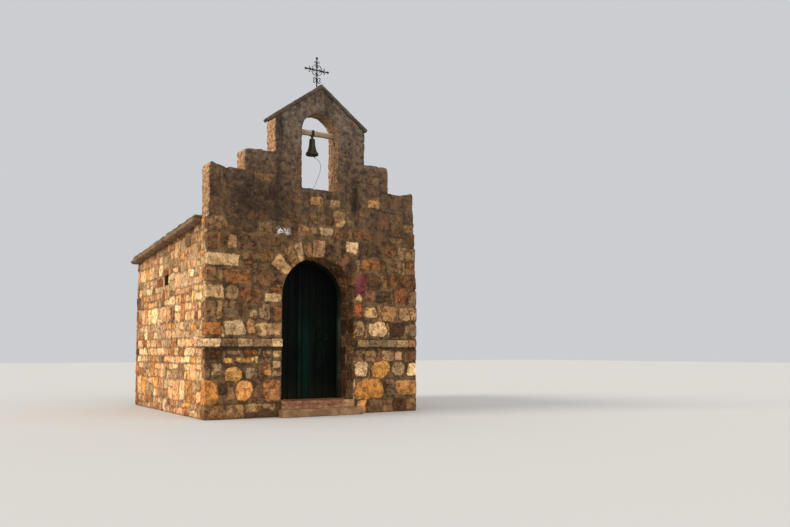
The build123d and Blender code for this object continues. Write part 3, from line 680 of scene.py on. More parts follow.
def relief(spots, edge, lift, rough=1.0):
    """The height of the masonry over its bed: flush mortar, worn stones and their uneven faces."""
    t = np.clip((edge + 0.004) / 0.020, 0.0, 1.0)
    t = t * t * (3 - 2 * t)
    coarse = np.array([noise.fractal((a * 9.0, b * 9.0, c * 9.0), 0.7, 2.1, 4) for a, b, c in spots])
    sharp = np.array([noise.noise((a * 52.0, b * 52.0, c * 52.0)) for a, b, c in spots])
    return np.maximum(SKIN, 0.004 + t * np.maximum(lift, 0.002)
                      + (coarse * 0.0042 + sharp * 0.0016) * (0.45 + 0.55 * t) * rough)


def dress(mesh, tint, edge):
    """Store the tint of the nearest stone and the distance inside it at each point."""
    colours = np.ones((len(edge), 4))
    colours[:, :3] = tint
    mesh.color_attributes.new("tint", "FLOAT_COLOR", "POINT").data.foreach_set("color", colours.ravel())
    mesh.attributes.new("edge", "FLOAT", "POINT").data.foreach_set("value", np.clip(edge, -0.03, 0.03))


def spread(*stops, step):
    """Places from the first stop to the last, evenly spaced between stops, with each stop among them."""
    out = [stops[0]]
    for a, b in zip(stops, stops[1:]):
        count = max(1, round((b - a) / step))
        out.extend(a + (b - a) * (k + 1) / count for k in range(count))
    return out


def sheet(name, us, vs, place, field, finish, keep=None, capped=False, rough=1.0, waver=1.0):
    """A finely divided sheet of masonry over one unrolled face."""
    across = len(us)
    spots = [keep(u, v) if keep else (u, v, 1.0, False) for v in vs for u in us]
    u, v, room = (np.array([s[k] for s in spots]) for k in range(3))
    flat = list(zip(u.tolist(), v.tolist()))
    base = [place(a, b, 0.0) for a, b in flat]
    edge, tint, lift = field.measure(u, v, wander(base, waver))
    height = SKIN + (relief(base, edge, lift, rough) - SKIN) * np.clip(room / 0.022, 0.0, 1.0)
    points = [place(a, b, h) for (a, b), h in zip(flat, height.tolist())]
    faces = []
    for row in range(len(vs) - 1):
        for k in range(row * across, row * across + across - 1):
            corners = (k, k + 1, k + across + 1, k + across)
            if not all(spots[c][3] for c in corners):
                faces.append(corners)
    if capped:
        ends = [row * across for row in range(len(vs))]
        faces += [tuple(reversed(ends)), tuple(e + across - 1 for e in ends)]
    mesh = bpy.data.meshes.new(name)
    mesh.from_pydata(points, [], faces)
    dress(mesh, tint, edge)
    bm = opened(mesh)
    bmesh.ops.dissolve_degenerate(bm, dist=1e-5, edges=bm.edges)
    bmesh.ops.delete(bm, geom=[p for p in bm.verts if not p.link_faces], context="VERTS")
    return piece(name, smooth(stored(bm, mesh)), FINISH[finish])


# Courses of the outer walls: the heights of their beds above the floor
COURSES = (-0.215, -0.01, 0.31, 0.55, 0.66, 0.79, 0.925, 1.18, 1.45, 1.69, 1.94, 2.16, 2.44, 2.64)
BELT_ROW = 5
GABLE_COURSES = (2.64, 2.92, 3.17, 3.34, 3.50, 3.66, 3.84, 4.03, 4.22, 4.42, 4.62, 4.83)

# Front stones that stand out, as drawn: from the left corner, to, above the floor from, to, tint, squareness
FRONT_STONES = (
    (-0.16, 0.19, -0.03, 0.33, "amber", 3.0), (0.21, 0.31, 0.12, 0.31, "umber", 3.0),
    (0.31, 0.42, 0.05, 0.24, "tan", 3.0), (0.44, 0.69, 0.03, 0.32, "amber", 2.4),
    (0.70, 0.84, 0.02, 0.24, "brown", 3.0), (0.86, 1.135, 0.01, 0.34, "orange", 3.0),
    (-0.12, 0.06, 0.36, 0.56, "tan", 3.5), (0.08, 0.24, 0.39, 0.57, "pale", 3.0),
    (0.27, 0.53, 0.31, 0.52, "yellow", 2.8), (0.57, 0.76, 0.33, 0.50, "lilac", 3.0),
    (0.86, 1.00, 0.38, 0.54, "amber", 3.0), (1.01, 1.14, 0.37, 0.46, "pale", 3.5),
    (1.01, 1.14, 0.49, 0.60, "pale", 3.0), (0.25, 0.39, 0.57, 0.65, "yellow", 3.0),
    (0.44, 0.71, 0.57, 0.65, "yellow", 2.8), (0.77, 0.88, 0.56, 0.63, "grey", 2.6),
    (-0.1, 0.24, 0.62, 0.77, "umber", 3.4), (0.30, 0.53, 0.68, 0.76, "tan", 3.4),
    (0.56, 0.76, 0.67, 0.77, "orange", 3.2), (0.84, 0.98, 0.65, 0.75, "lilac", 3.0),
    (1.0, 1.14, 0.64, 0.76, "pale", 3.2), (-0.14, 0.21, 0.96, 1.16, "orange", 3.6),
    (0.26, 0.58, 0.96, 1.18, "cream", 3.2), (0.60, 0.72, 0.98, 1.20, "tan", 3.0),
    (0.74, 1.145, 0.96, 1.15, "pale", 4.0), (-0.2, 0.14, 1.21, 1.45, "tan", 3.5),
    (0.24, 0.48, 1.20, 1.46, "khaki", 2.8), (0.50, 0.62, 1.20, 1.43, "brown", 3.4),
    (0.64, 0.75, 1.20, 1.33, "pale", 2.6), (0.77, 0.97, 1.18, 1.43, "grey", 3.0),
    (1.01, 1.145, 1.17, 1.42, "rust", 3.2), (-0.15, 0.25, 1.49, 1.68, "cream", 3.6),
    (0.27, 0.46, 1.46, 1.67, "grey", 3.2), (0.48, 0.82, 1.43, 1.65, "rust", 3.4),
    (0.86, 1.13, 1.45, 1.59, "cream", 3.2), (0.95, 1.14, 1.62, 1.73, "yellow", 3.0),
    (-0.16, 0.13, 1.72, 1.93, "tan", 3.4), (0.15, 0.23, 1.70, 1.92, "grey", 3.0),
    (0.25, 0.65, 1.70, 1.91, "orange", 3.8), (0.67, 0.75, 1.72, 1.92, "grey", 3.0),
    (0.77, 0.98, 1.67, 1.92, "brown", 3.0), (-0.13, 0.47, 1.95, 2.13, "cream", 4.2),
    (0.51, 0.66, 2.05, 2.17, "tan", 3.0), (0.52, 0.76, 1.93, 2.03, "tan", 3.0),
    (0.78, 1.0, 2.03, 2.23, "khaki", 3.0), (-0.12, 0.12, 2.17, 2.44, "brown", 3.2),
    (0.18, 0.27, 2.20, 2.42, "dim", 3.0), (0.29, 0.43, 2.19, 2.41, "peach", 3.2),
    (0.47, 0.76, 2.20, 2.40, "brown", 3.4), (0.78, 1.10, 2.27, 2.43, "brown", 3.4),
    (0.74, 0.97, 2.47, 2.63, "tan", 3.2), (1.40, 1.60, 2.47, 2.63, "tan", 3.0),
    (1.62, 1.74, 2.50, 2.62, "pale", 3.0), (1.76, 2.01, 2.50, 2.62, "cream", 3.0),
    (2.12, 2.27, 2.47, 2.63, "brown", 3.0), (2.36, 2.70, 2.47, 2.63, "rust", 3.2),
    (2.23, 2.46, 2.26, 2.44, "cream", 2.7), (2.55, 2.84, 2.22, 2.45, "dim", 3.2),
    (2.92, 3.17, 2.22, 2.44, "brown", 3.2), (3.19, 3.56, 2.19, 2.42, "lilac", 3.2),
    (1.60, 1.86, 2.66, 2.90, "grey", 2.8), (2.02, 2.22, 2.65, 2.90, "pale", 2.8),
    (1.60, 1.83, 2.94, 3.09, "yellow", 2.8), (1.88, 2.13, 2.93, 3.08, "cream", 2.8),
    (2.50, 2.86, 2.01, 2.19, "orange", 3.4), (2.96, 3.27, 1.99, 2.18, "khaki", 3.2),
    (3.33, 3.56, 1.97, 2.16, "tan", 3.2), (2.56, 2.84, 1.74, 1.97, "brown", 3.0),
    (2.86, 2.99, 1.74, 1.94, "tan", 3.0), (3.02, 3.19, 1.77, 1.96, "rust", 2.8),
    (3.21, 3.60, 1.76, 1.96, "rust", 3.2), (2.39, 2.51, 1.50, 1.70, "pale", 2.8),
    (2.54, 2.75, 1.51, 1.71, "rust", 3.0), (2.77, 3.03, 1.51, 1.70, "brown", 3.4),
    (3.09, 3.35, 1.51, 1.75, "rust", 2.6), (3.38, 3.60, 1.49, 1.72, "tan", 3.2),
    (2.37, 2.51, 1.25, 1.48, "brick", 3.0), (2.54, 2.79, 1.26, 1.43, "pale", 2.8),
    (2.88, 3.15, 1.21, 1.46, "tan", 2.6), (3.19, 3.64, 1.22, 1.45, "tan", 2.9),
    (2.38, 2.56, 0.97, 1.21, "grey", 2.8), (2.62, 2.96, 0.96, 1.20, "cream", 2.6),
    (3.01, 3.29, 0.97, 1.20, "umber", 3.0), (3.31, 3.66, 0.98, 1.18, "lilac", 3.0),
    (2.38, 2.51, 0.66, 0.76, "khaki", 3.2), (2.56, 2.77, 0.63, 0.76, "khaki", 3.0),
    (2.87, 3.10, 0.58, 0.76, "tan", 2.7), (3.12, 3.25, 0.59, 0.74, "peach", 3.2),
    (3.28, 3.62, 0.60, 0.76, "brown", 3.0), (2.38, 2.62, 0.34, 0.59, "cream", 2.8),
    (2.67, 3.01, 0.31, 0.59, "yellow", 2.1), (3.04, 3.31, 0.35, 0.57, "pale", 2.5),
    (3.35, 3.62, 0.34, 0.55, "cream", 3.0), (2.39, 2.90, -0.02, 0.32, "amber", 2.4),
    (2.94, 3.10, 0.20, 0.30, "lilac", 2.6), (2.94, 3.12, 0.02, 0.15, "khaki", 3.0),
    (3.14, 3.66, 0.03, 0.28, "amber", 3.0), (2.64, 2.87, 3.00, 3.14, "yellow", 2.8),
)

# Side stones that stand out beside the vent: back from the front corner
SIDE_STONES = (
    (1.52, 1.80, 1.84, 1.98, "cream", 4.0), (2.19, 2.50, 1.78, 1.92, "brick", 3.4),
    (2.26, 2.44, 1.10, 1.27, "cream", 3.6), (0.44, 0.72, 2.31, 2.48, "peach", 3.4),
    (1.98, 2.20, 2.26, 2.45, "pale", 3.8), (0.46, 0.68, 1.93, 2.10, "peach", 3.6),
    (0.72, 0.92, 1.94, 2.09, "peach", 3.4), (1.02, 1.24, 2.10, 2.24, "amber", 3.4),
    (3.42, 3.92, 1.12, 1.30, "orange", 3.4), (0.30, 0.52, 0.82, 0.94, "cream", 3.6),
    (0.54, 0.66, 1.38, 1.62, "yellow", 3.0), (0.45, 0.65, 1.02, 1.14, "amber", 3.0),
)

# Arch stones: angle from, to (degrees, 0 at the right spring), depth of the ring, tint
ARCH_STONES = (
    (2, 17, 0.20, "brown"), (18, 33, 0.22, "brown"), (34, 47, 0.20, "umber"), (48, 60, 0.22, "rust"),
    (61, 71, 0.24, "brown"), (72, 81, 0.22, "umber"), (82, 99, 0.26, "peach"), (100, 110, 0.24, "tan"),
    (111, 121, 0.26, "pale"), (122, 134, 0.28, "tan"), (136, 151, 0.30, "pale"), (153, 165, 0.20, "brown"),
    (166, 178, 0.19, "rust"),
)

LOW_TINTS = ("tan", "khaki", "brown", "pale", "umber", "tan", "grey", "amber", "cream", "rust")
MID_TINTS = ("brown", "tan", "khaki", "umber", "tan", "dim", "grey", "orange")
TOP_TINTS = ("dim", "umber", "brown", "dim", "khaki", "rust")
SIDE_TINTS = ("peach", "cream", "pale", "peach", "peach", "tan", "cream", "pale", "amber", "cream", "orange", "peach")
BACK_TINTS = ("tan", "peach", "khaki", "grey", "brown", "orange", "pale", "rust", "tan")


class Courses:
    """Lays the walls course by course, round the stones that stand out."""

    def __init__(self, seed):
        self.random = random.Random(seed)
        self.field = Field(seed + 1)
        self.taken = []

    def place(self, u0, u1, z0, z1, tint, square=None, joint=JOINT):
        joint *= self.random.uniform(0.7, 1.3)
        self.field.add(u0 + joint, u1 - joint, z0 + joint, z1 - joint, tint, square or self.random.uniform(2.6, 4.1))

    def stand(self, u0, u1, z0, z1, tint, square):
        """A stone with its own place, which the courses go round."""
        self.taken.append((u0, u1, z0, z1))
        self.place(u0, u1, z0, z1, tint, square, JOINT / 2)

    def across(self, z0, z1):
        """Where the stones with their own place stand in a course."""
        return [(a, b) for a, b, low, high in self.taken
                if min(high, z1) - max(low, z0) > 0.35 * min(high - low, z1 - z0)]

    def fill(self, start, end, z0, z1, tints, narrow, wide, split, joint=JOINT):
        """Fill a length of a course with stones, between those that are there."""
        r, there, high = self.random, self.across(z0, z1), z1 - z0
        u = start
        while u < end - 0.03:
            stop = next((b for a, b in there if a <= u + 0.002 < b), None)
            if stop:
                u = stop
                continue
            width = r.uniform(narrow, wide)
            limit = min([a for a, b in there if a > u] + [end])
            if limit - u < width * 1.45:
                width = limit - u
            if width > 0.04:
                boxes = [(u, u + width, z0, z1)]
                if high > 0.17 and r.random() < split:
                    cut = z0 + high * r.uniform(0.4, 0.62)
                    boxes = [(u, u + width, z0, cut), (u, u + width, cut, z1)]
                    if width > 0.26 and r.random() < 0.5:
                        part = u + width * r.uniform(0.4, 0.6)
                        boxes[:1] = [(u, part, z0, cut), (part, u + width, z0, cut)]
                for box in boxes:
                    self.place(*box, r.choice(tints), joint=joint)
            u += width


def plan_walls(seed):
    """Every stone of the strip that runs round the building, and of the gable over its front."""
    c = Courses(seed)
    quoin, reach = 0.34, 0.14    # length of a corner stone, and how far the front's stones go round a corner
    for a, b, z0, z1, tint, square in FRONT_STONES:
        c.stand(drawn_u(a), drawn_u(b), z0 * DRAWN_TALL + FLOOR_Z, z1 * DRAWN_TALL + FLOOR_Z, tint, square)
    for a, b, z0, z1, tint, square in SIDE_STONES:
        c.stand(SIDE_LEFT - b, SIDE_LEFT - a, z0 + FLOOR_Z, z1 + FLOOR_Z, tint, square)
    for a0, a1, deep, tint in ARCH_STONES:
        lay_voussoir(c, DOOR_X, SPRING_Z, DOOR_R, a0, a1, deep, tint)
    niche_x, niche_r = (NICHE_LEFT + NICHE_RIGHT) / 2, (NICHE_RIGHT - NICHE_LEFT) / 2
    for k in range(9):
        lay_voussoir(c, niche_x, NICHE_SPRING, niche_r, 20 * k + 1, 20 * k + 19, 0.145, c.random.choice(TOP_TINTS))
    for k, (z0, z1) in enumerate(zip(COURSES, COURSES[1:])):
        mid, z0, z1 = (z0 + z1) / 2, z0 + FLOOR_Z, z1 + FLOOR_Z
        tints = LOW_TINTS if mid < 1.5 else MID_TINTS if mid < 2.3 else TOP_TINTS
        if k == BELT_ROW:
            tints = ("umber", "dim")
        turn = 0.13 if k % 2 else 0.22
        c.fill(turn, SIDE_LEFT - reach, z0, z1, SIDE_TINTS, 0.14, 0.35, 0.66, JOINT * 0.75)
        c.fill(FRONT_END + reach, SIDE_RIGHT - turn, z0, z1, SIDE_TINTS, 0.14, 0.35, 0.66, JOINT * 0.75)
        c.place(SIDE_RIGHT - turn, SIDE_RIGHT + quoin - turn, z0, z1, c.random.choice(BACK_TINTS), 4.0)
        c.fill(SIDE_RIGHT + quoin - turn, ROUND + turn - quoin, z0, z1, BACK_TINTS, 0.15, 0.36, 0.6)
        c.place(ROUND + turn - quoin, ROUND + turn, z0, z1, c.random.choice(BACK_TINTS), 4.0)
        c.fill(SIDE_LEFT - reach, FRONT_END + reach, z0, z1, tints, 0.12, 0.30, 0.45)
    for z0, z1 in zip(GABLE_COURSES, GABLE_COURSES[1:]):
        c.fill(SIDE_LEFT - 0.30, FRONT_END + 0.30, z0 + FLOOR_Z, z1 + FLOOR_Z, TOP_TINTS, 0.13, 0.34, 0.4)
    c.field.close_round()
    return c.field


def lay_voussoir(c, cx, cz, near, a0, a1, deep, tint):
    """A stone that fans out over an opening, between two angles in degrees."""
    mid, half = math.radians((a0 + a1) / 2), math.radians(a1 - a0) / 2
    low, high = near - 0.02, near + deep
    middle = (low + high) / 2
    v = cz + middle * math.sin(mid)
    u, wide, tall = front_u(cx + middle * math.cos(mid), v), middle * half - 0.004, (high - low) / 2
    c.field.add(u - wide, u + wide, v - tall, v + tall, tint, 4.1, mid - math.pi / 2,
                (high - low) / (2 * middle) * 0.9, c.random.uniform(0.008, 0.014))
    us, zs = zip(*((front_u(cx + r * math.cos(a), cz), cz + r * math.sin(a))
                   for r in (near, high) for a in (mid - half, mid + half)))
    c.taken.append((min(us) + 0.03, max(us) - 0.03, min(zs), max(zs) - 0.02))


def plan_jambs(seed):
    """Stones of the doorway's sides: two beside each other in each course, from the left foot round to the right."""
    field = Field(seed)
    r, s = field.random, 0.0
    while s < OUTLINE:
        step = r.uniform(0.13, 0.27)
        cut = REVEAL * r.uniform(0.38, 0.68)
        tints = ("brown", "tan", "umber" if s > OUTLINE / 2 else "khaki", "brown")
        for d0, d1 in ((-0.04, cut), (cut, REVEAL + 0.03)):
            field.add(d0 + JOINT, d1 - JOINT, s + JOINT, s + step - JOINT, r.choice(tints), r.uniform(3.0, 4.3))
        s += step
    return field


def plan_blocks(seed):
    """Stones for the sides, the back and the top of the gable."""
    field = Field(seed)
    r, v = field.random, -2.2
    while v < 5.6:
        high = r.uniform(0.13, 0.26)
        u = -2.2
        while u < 2.2:
            wide = r.uniform(0.14, 0.34)
            field.add(u + JOINT, u + wide - JOINT, v + JOINT, v + high - JOINT, r.choice(TOP_TINTS),
                      r.uniform(2.7, 4.0))
            u += wide
        v += high
    return field


def in_doorway(d, s, h):
    """The doorway's side unrolled: s runs up the left jamb, over the arch and down the right jamb,
    d goes in from the front, and h stands out into the opening."""
    fringe = max(0.0, 1.0 - d / 0.022)
    h = h + (frayed(s) - h) * fringe
    y = FRONT_Y + d - SKIN * fringe
    if s < JAMB:
        return (DOOR_LEFT + h, y, FLOOR_Z + s)
    if s > JAMB + ARC:
        return (DOOR_RIGHT - h, y, SPRING_Z - (s - JAMB - ARC))
    a = math.pi * (1 - (s - JAMB) / ARC)
    return (DOOR_X + (DOOR_R - h) * math.cos(a), y, SPRING_Z + (DOOR_R - h) * math.sin(a))


def lay_walls(fine):
    """The four walls' faces, divided more finely on the front, with the vents left open."""
    plain = fine * 1.2
    rows = spread(0.0, VENT_Z - VENT_TALL / 2 + CLEAR, VENT_Z + VENT_TALL / 2 - CLEAR, SEAM_Z, step=fine)
    near, far = BACK_Y - VENT_Y - VENT_WIDE / 2 + CLEAR, BACK_Y - VENT_Y + VENT_WIDE / 2 - CLEAR
    walls = (
        ("stones_left_side", keep_side, plain,
         (0.0, CORNER, near, far, LONG - GABLE_DEEP, SIDE_LEFT - CORNER, SIDE_LEFT)),
        ("stones_front", keep_front, fine, (SIDE_LEFT, SIDE_LEFT + CORNER, FRONT_END - CORNER, FRONT_END)),
        ("stones_right_side", keep_side, plain,
         (FRONT_END, FRONT_END + CORNER, FRONT_END + GABLE_DEEP, FRONT_END + LONG - far, FRONT_END + LONG - near,
          SIDE_RIGHT - CORNER, SIDE_RIGHT)),
        ("stones_back", keep_side, plain, (SIDE_RIGHT, SIDE_RIGHT + CORNER, ROUND - CORNER, ROUND)),
    )
    for name, keep, step, stops in walls:
        sheet(name, spread(*stops, step=step), rows, around, FIELDS["walls"], "rubble", keep)


# Belt stones: from the left corner, to, tint
BELT_LEFT = ((-0.45, -0.26, "peach"), (-0.25, -0.03, "cream"), (-0.03, 0.21, "cream"), (0.22, 0.45, "khaki"),
             (0.46, 0.68, "cream"), (0.69, 0.985, "pale"), (0.99, 1.16, "cream"))
BELT_RIGHT = ((2.36, 2.62, "pale"), (2.63, 2.95, "khaki"), (2.96, 3.13, "grey"), (3.14, 3.36, "pale"),
              (3.37, 3.56, "orange"))


def lay_belt(seed):
    """Long hewn stones along the belt course: round the left corner, and up to the right one."""
    nose, proud, high = 0.026, BELT_OUT - 0.011, BELT_TOP - BELT_LOW
    flat, arc, face = proud - nose, nose * math.pi / 2, high - 2 * nose
    length = 2 * flat + 2 * arc + face

    def belt_face(u, v, h):
        """v goes out under the nose, up over it, and back to the wall."""
        if v < flat:
            out, z, c, s = v, BELT_LOW, 0.0, -1.0
        elif v < flat + arc:
            a = (v - flat) / nose - math.pi / 2
            c, s = math.cos(a), math.sin(a)
            out, z = flat + nose * c, BELT_LOW + nose + nose * s
        elif v < flat + arc + face:
            out, z, c, s = proud, BELT_LOW + nose + (v - flat - arc), 1.0, 0.0
        elif v < length - flat:
            a = (v - flat - arc - face) / nose
            c, s = math.cos(a), math.sin(a)
            out, z = flat + nose * c, BELT_TOP - nose + nose * s
        else:
            out, z, c, s = length - v, BELT_TOP, 0.0, 1.0
        x, y, _ = around(u, BELT_TOP, out + h * c)
        return (x, y, z + (h - 0.008) * s)

    step = 0.010
    rows = spread(0.0, flat, flat + arc, flat + arc + face, length - flat, length, step=0.009)
    left_end = front_u(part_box("belt_left")[1][0], BELT_TOP)
    right_start = front_u(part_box("belt_right")[0][0], BELT_TOP)
    runs = (
        ("belt_stones_left", BELT_LEFT, ("belt_left", "belt_return_left"),
         spread(SIDE_LEFT - BELT_RETURN, SIDE_LEFT - CORNER, SIDE_LEFT, SIDE_LEFT + CORNER, left_end, step=step)),
        ("belt_stones_right", BELT_RIGHT, ("belt_right",),
         spread(right_start, FRONT_END - CORNER - 0.001, step=step)),
    )
    field = Field(seed)
    for name, stones, nodes, columns in runs:
        for a, b, tint in stones:
            field.add(drawn_u(a), drawn_u(b), -0.03, length + 0.03, tint, 4.2, 0.0, 0.0, 0.006)
        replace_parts(sheet(name, columns, rows, belt_face, field, "belt", None, True, 0.8, 0.5), *nodes)


# Gable, coping, roof and steps
def remeshed(name, nodes, voxel, soften):
    """The nodes' solids remeshed finely and rounded, and the lowest and highest corners of the solids."""
    bm = opened(*(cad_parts[node].data for node in nodes))
    bmesh.ops.remove_doubles(bm, verts=bm.verts, dist=1e-6)
    solid = stored(bm, bpy.data.meshes.new("solid"))
    helper = link(name + "_helper", solid)
    remesh = helper.modifiers.new("fine", "REMESH")
    remesh.mode, remesh.voxel_size = "VOXEL", voxel
    round_off = helper.modifiers.new("round", "SMOOTH")
    round_off.factor, round_off.iterations = 0.5, soften
    mesh, corners = settled(helper), points_of(solid)
    mesh.name = name
    return mesh, corners.min(axis=0), corners.max(axis=0)


def worn(name, nodes, finish, voxel, soften, rough, scale, seed):
    """A piece worn from its nodes: its edges rounded and its faces roughened."""
    mesh, low, high = remeshed(name, nodes, voxel, soften)
    spots, normals = points_of(mesh), points_of(mesh, "normal")
    shift = Vector((seed * 3.1, seed * 1.7, seed * 2.3))
    lift = np.array([noise.fractal(Vector(p) * scale + shift, 0.8, 2.1, 4) for p in spots.tolist()])
    spots = np.clip(spots + normals * (lift * rough - rough * 0.25)[:, None], low - 0.003, high + 0.003)
    mesh.vertices.foreach_set("co", spots.ravel())
    mesh.update()
    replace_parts(piece(name, smooth(mesh), FINISH[finish]), *nodes)


GABLE_NODES = ("gable_wall", "left_outer_step", "left_inner_step", "right_inner_step", "right_outer_step",
               "belfry_pier_left", "belfry_pier_right", "belfry_head")


def crust_gable():
    """The gable's masonry, carried up from the wall and worn round at every edge."""
    mesh = remeshed("gable_crust", GABLE_NODES, 0.0135, 8)[0]
    spots, normals = points_of(mesh), points_of(mesh, "normal")
    x, y, z = spots.T
    turned = np.array([front_u(a, b) for a, b in zip(x.tolist(), z.tolist())])
    share = np.abs(normals) ** 3
    share /= share.sum(axis=1, keepdims=True)
    walls, blocks = FIELDS["walls"], FIELDS["blocks"]
    faces = (
        (share[:, 1] * (normals[:, 1] < 0), walls, turned, z),
        (share[:, 1] * (normals[:, 1] >= 0), blocks, -x, z),
        (share[:, 0], blocks, y + 1.9, z),
        (share[:, 2], blocks, x, y),
    )
    edge, tint, lift = np.zeros(len(z)), np.zeros((len(z), 3)), np.zeros(len(z))
    base = spots.tolist()
    drift = wander(base)
    for weight, field, u, v in faces:
        e, t, p = field.measure(u, v, drift)
        edge += np.clip(e, -0.03, 0.05) * weight
        lift += p * weight
        tint += t * weight[:, None]
    spots = spots + normals * (relief(base, edge, lift, 1.7) - 0.001)[:, None]
    mesh.vertices.foreach_set("co", spots.ravel())
    dress(mesh, tint, edge)
    bm = opened(mesh)
    sunk = [face for face in bm.faces if all(p.co.z < SEAM_Z - 0.012 for p in face.verts)]
    bmesh.ops.delete(bm, geom=sunk, context="FACES")
    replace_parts(piece("gable_crust", smooth(stored(bm, mesh)), FINISH["gable"]), *GABLE_NODES)


FINISH, FIELDS = {}, {}


def make_finishes():
    FINISH.update(
        rubble=masonry_finish("Rubble stone"),
        gable=masonry_finish("Crusted gable stone", True),
        mortar=mortar_finish(),
        belt=belt_finish(),
        coping=slab_finish("Coping slabs", (74, 64, 56), (104, 92, 80), (120, 96, 72), (158, 150, 132)),
        floor=slab_finish("Floor stone", (132, 116, 98), (164, 146, 122), (120, 98, 78)),
        step=step_finish(),
        roof=slab_finish("Roof slab edge", (104, 80, 60), (138, 108, 80), (90, 72, 58)),
        moss=moss_finish(),
        # The door's green is written near black: partly its dark paint, partly painted shade of the deep doorway
        door=paint_finish("Dark green door paint with painted shade", (2, 8, 5), (5, 15, 10), 0.3, 0.5, BOARD),
        strip=paint_finish("Strip on the door", (6, 20, 14), (14, 34, 26), 0.8, 0.5),
        frame=paint_finish("Faded frame paint", (46, 52, 38), (70, 76, 58), 1.0, 0.6),
        iron=iron_finish(),
        wood=wood_finish(),
        bronze=bronze_finish(),
        rope=rope_finish(),
    )


# Rope: the same points as the cord's route
ROPE_POINTS = (
    (-0.021, -1.755, 3.919), (0.0254, -1.7503, 3.9106), (0.08, -1.7317, 3.8742), (0.109, -1.71, 3.8215),
    (0.113, -1.6899, 3.7398), (0.0981, -1.6651, 3.6797), (0.081, -1.6295, 3.5907), (0.0491, -1.6062, 3.5037),
    (0.0269, -1.5752, 3.4226), (0.0195, -1.563, 3.3179), (0.0165, -1.569, 3.2067), (0.0185, -1.565, 3.1001),
    (0.0165, -1.569, 3.0074), (0.017, -1.568, 2.9267),
)


def rope_route(diameter, turns):
    """The route down behind the gable, and the coil that lies on the roof: three rings in three layers."""
    points = [Vector(p) for p in ROPE_POINTS]
    low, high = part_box("bell_cord_coil")
    centre = Vector(((low[0] + high[0]) / 2, (low[1] + high[1]) / 2, 0.0))
    slope = math.atan(ROOF_SLOPE)
    top_of_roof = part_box("roof_cap")[1][2] - (centre.y - GABLE_HIGH[1]) * ROOF_SLOPE
    rings, turn_points = (0.045, 0.053, 0.037), 14
    for k in range(int(turns * turn_points) + 1):
        t = k / turn_points
        level = 2 - min(2, int(t / 3 + 1e-6))
        which = int(t + 1e-6)
        here, after = rings[which % 3], rings[(which + 1) % 3]
        ease = max(0.0, (t - which - 0.7) / 0.3)
        ease = ease * ease * (3 - 2 * ease)
        ring = here + (after - here) * ease
        if which % 3 == 2 and level > 0:
            level -= ease
        angle = -math.pi / 2 + 2 * math.pi * t
        flat = Vector((ring * math.cos(angle), ring * math.sin(angle), diameter / 2 + level * diameter))
        y = flat.y * math.cos(slope) + flat.z * math.sin(slope)
        z = flat.z * math.cos(slope) - flat.y * math.sin(slope)
        points.append(Vector((centre.x + flat.x, centre.y + y, top_of_roof + z)))
    return points


def rope_line(route):
    """The points of the smooth line through the route: one open NURBS spline."""
    curve = bpy.data.curves.new("rope_line", "CURVE")
    curve.dimensions = "3D"
    curve.resolution_u = 10
    spline = curve.splines.new("NURBS")
    spline.points.add(len(route) - 1)
    for spot, point in zip(spline.points, route):
        spot.co = (*point, 1.0)
    spline.order_u = 3
    spline.use_endpoint_u = True
    return [p.co.copy() for p in settled(link("rope_line", curve)).vertices]


def twisted_tube(name, points, thick):
    """A rope of three laid strands that follows the points."""
    sides, pitch = 12, 0.042
    bm = bmesh.new()
    up, along, rings = Vector((0, 1, 0)), 0.0, []
    for k, p in enumerate(points):
        ahead = (points[min(k + 1, len(points) - 1)] - points[max(k - 1, 0)]).normalized()
        up = (up - ahead * up.dot(ahead)).normalized()
        side = ahead.cross(up)
        if k:
            along += (p - points[k - 1]).length
        twist = 2 * math.pi * along / pitch
        ring = []
        for j in range(sides):
            a = 2 * math.pi * j / sides + twist
            r = thick / 2 * (0.80 + 0.20 * abs(math.cos(1.5 * (a - twist))))
            ring.append(bm.verts.new(p + (side * math.cos(a) + up * math.sin(a)) * r))
        rings.append(ring)
    for one, two in zip(rings, rings[1:]):
        bridge(bm, one, two)
    bm.faces.new(list(reversed(rings[0])))
    bm.faces.new(rings[-1])
    bmesh.ops.recalc_face_normals(bm, faces=bm.faces)
    return smooth(stored(bm, bpy.data.meshes.new(name)))


def knot_piece(name, centre, thick, body):
    """A small overhand knot."""
    bm = bmesh.new()
    bmesh.ops.create_uvsphere(bm, u_segments=20, v_segments=14, radius=thick * 1.05)
    for v in bm.verts:
        a = math.atan2(v.co.y, v.co.x)
        v.co *= 1.0 + 0.16 * math.sin(3 * a + v.co.z * 420)
        v.co.z *= 0.8
        v.co += centre
    return piece(name, smooth(stored(bm, bpy.data.meshes.new(name))), FINISH["rope"], body)


def hang_rope(settings):
    points = rope_line(rope_route(settings.diameter, settings.turns))
    tube = twisted_tube("bell_rope", points, settings.diameter)
    rope = piece("bell_rope", tube, FINISH["rope"], None)
    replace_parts(rope, "bell_cord", "bell_cord_coil")
    knot = knot_piece("rope_end_knot", points[-1], settings.diameter, "root")
    hitch = knot_piece("rope_hitch", points[0] + Vector((0.004, 0, 0.002)), settings.diameter * 0.75, "bell")
    tuple(points[0])
    [tuple(p) for p in points]
    tuple(points[0])
    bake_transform(rope)


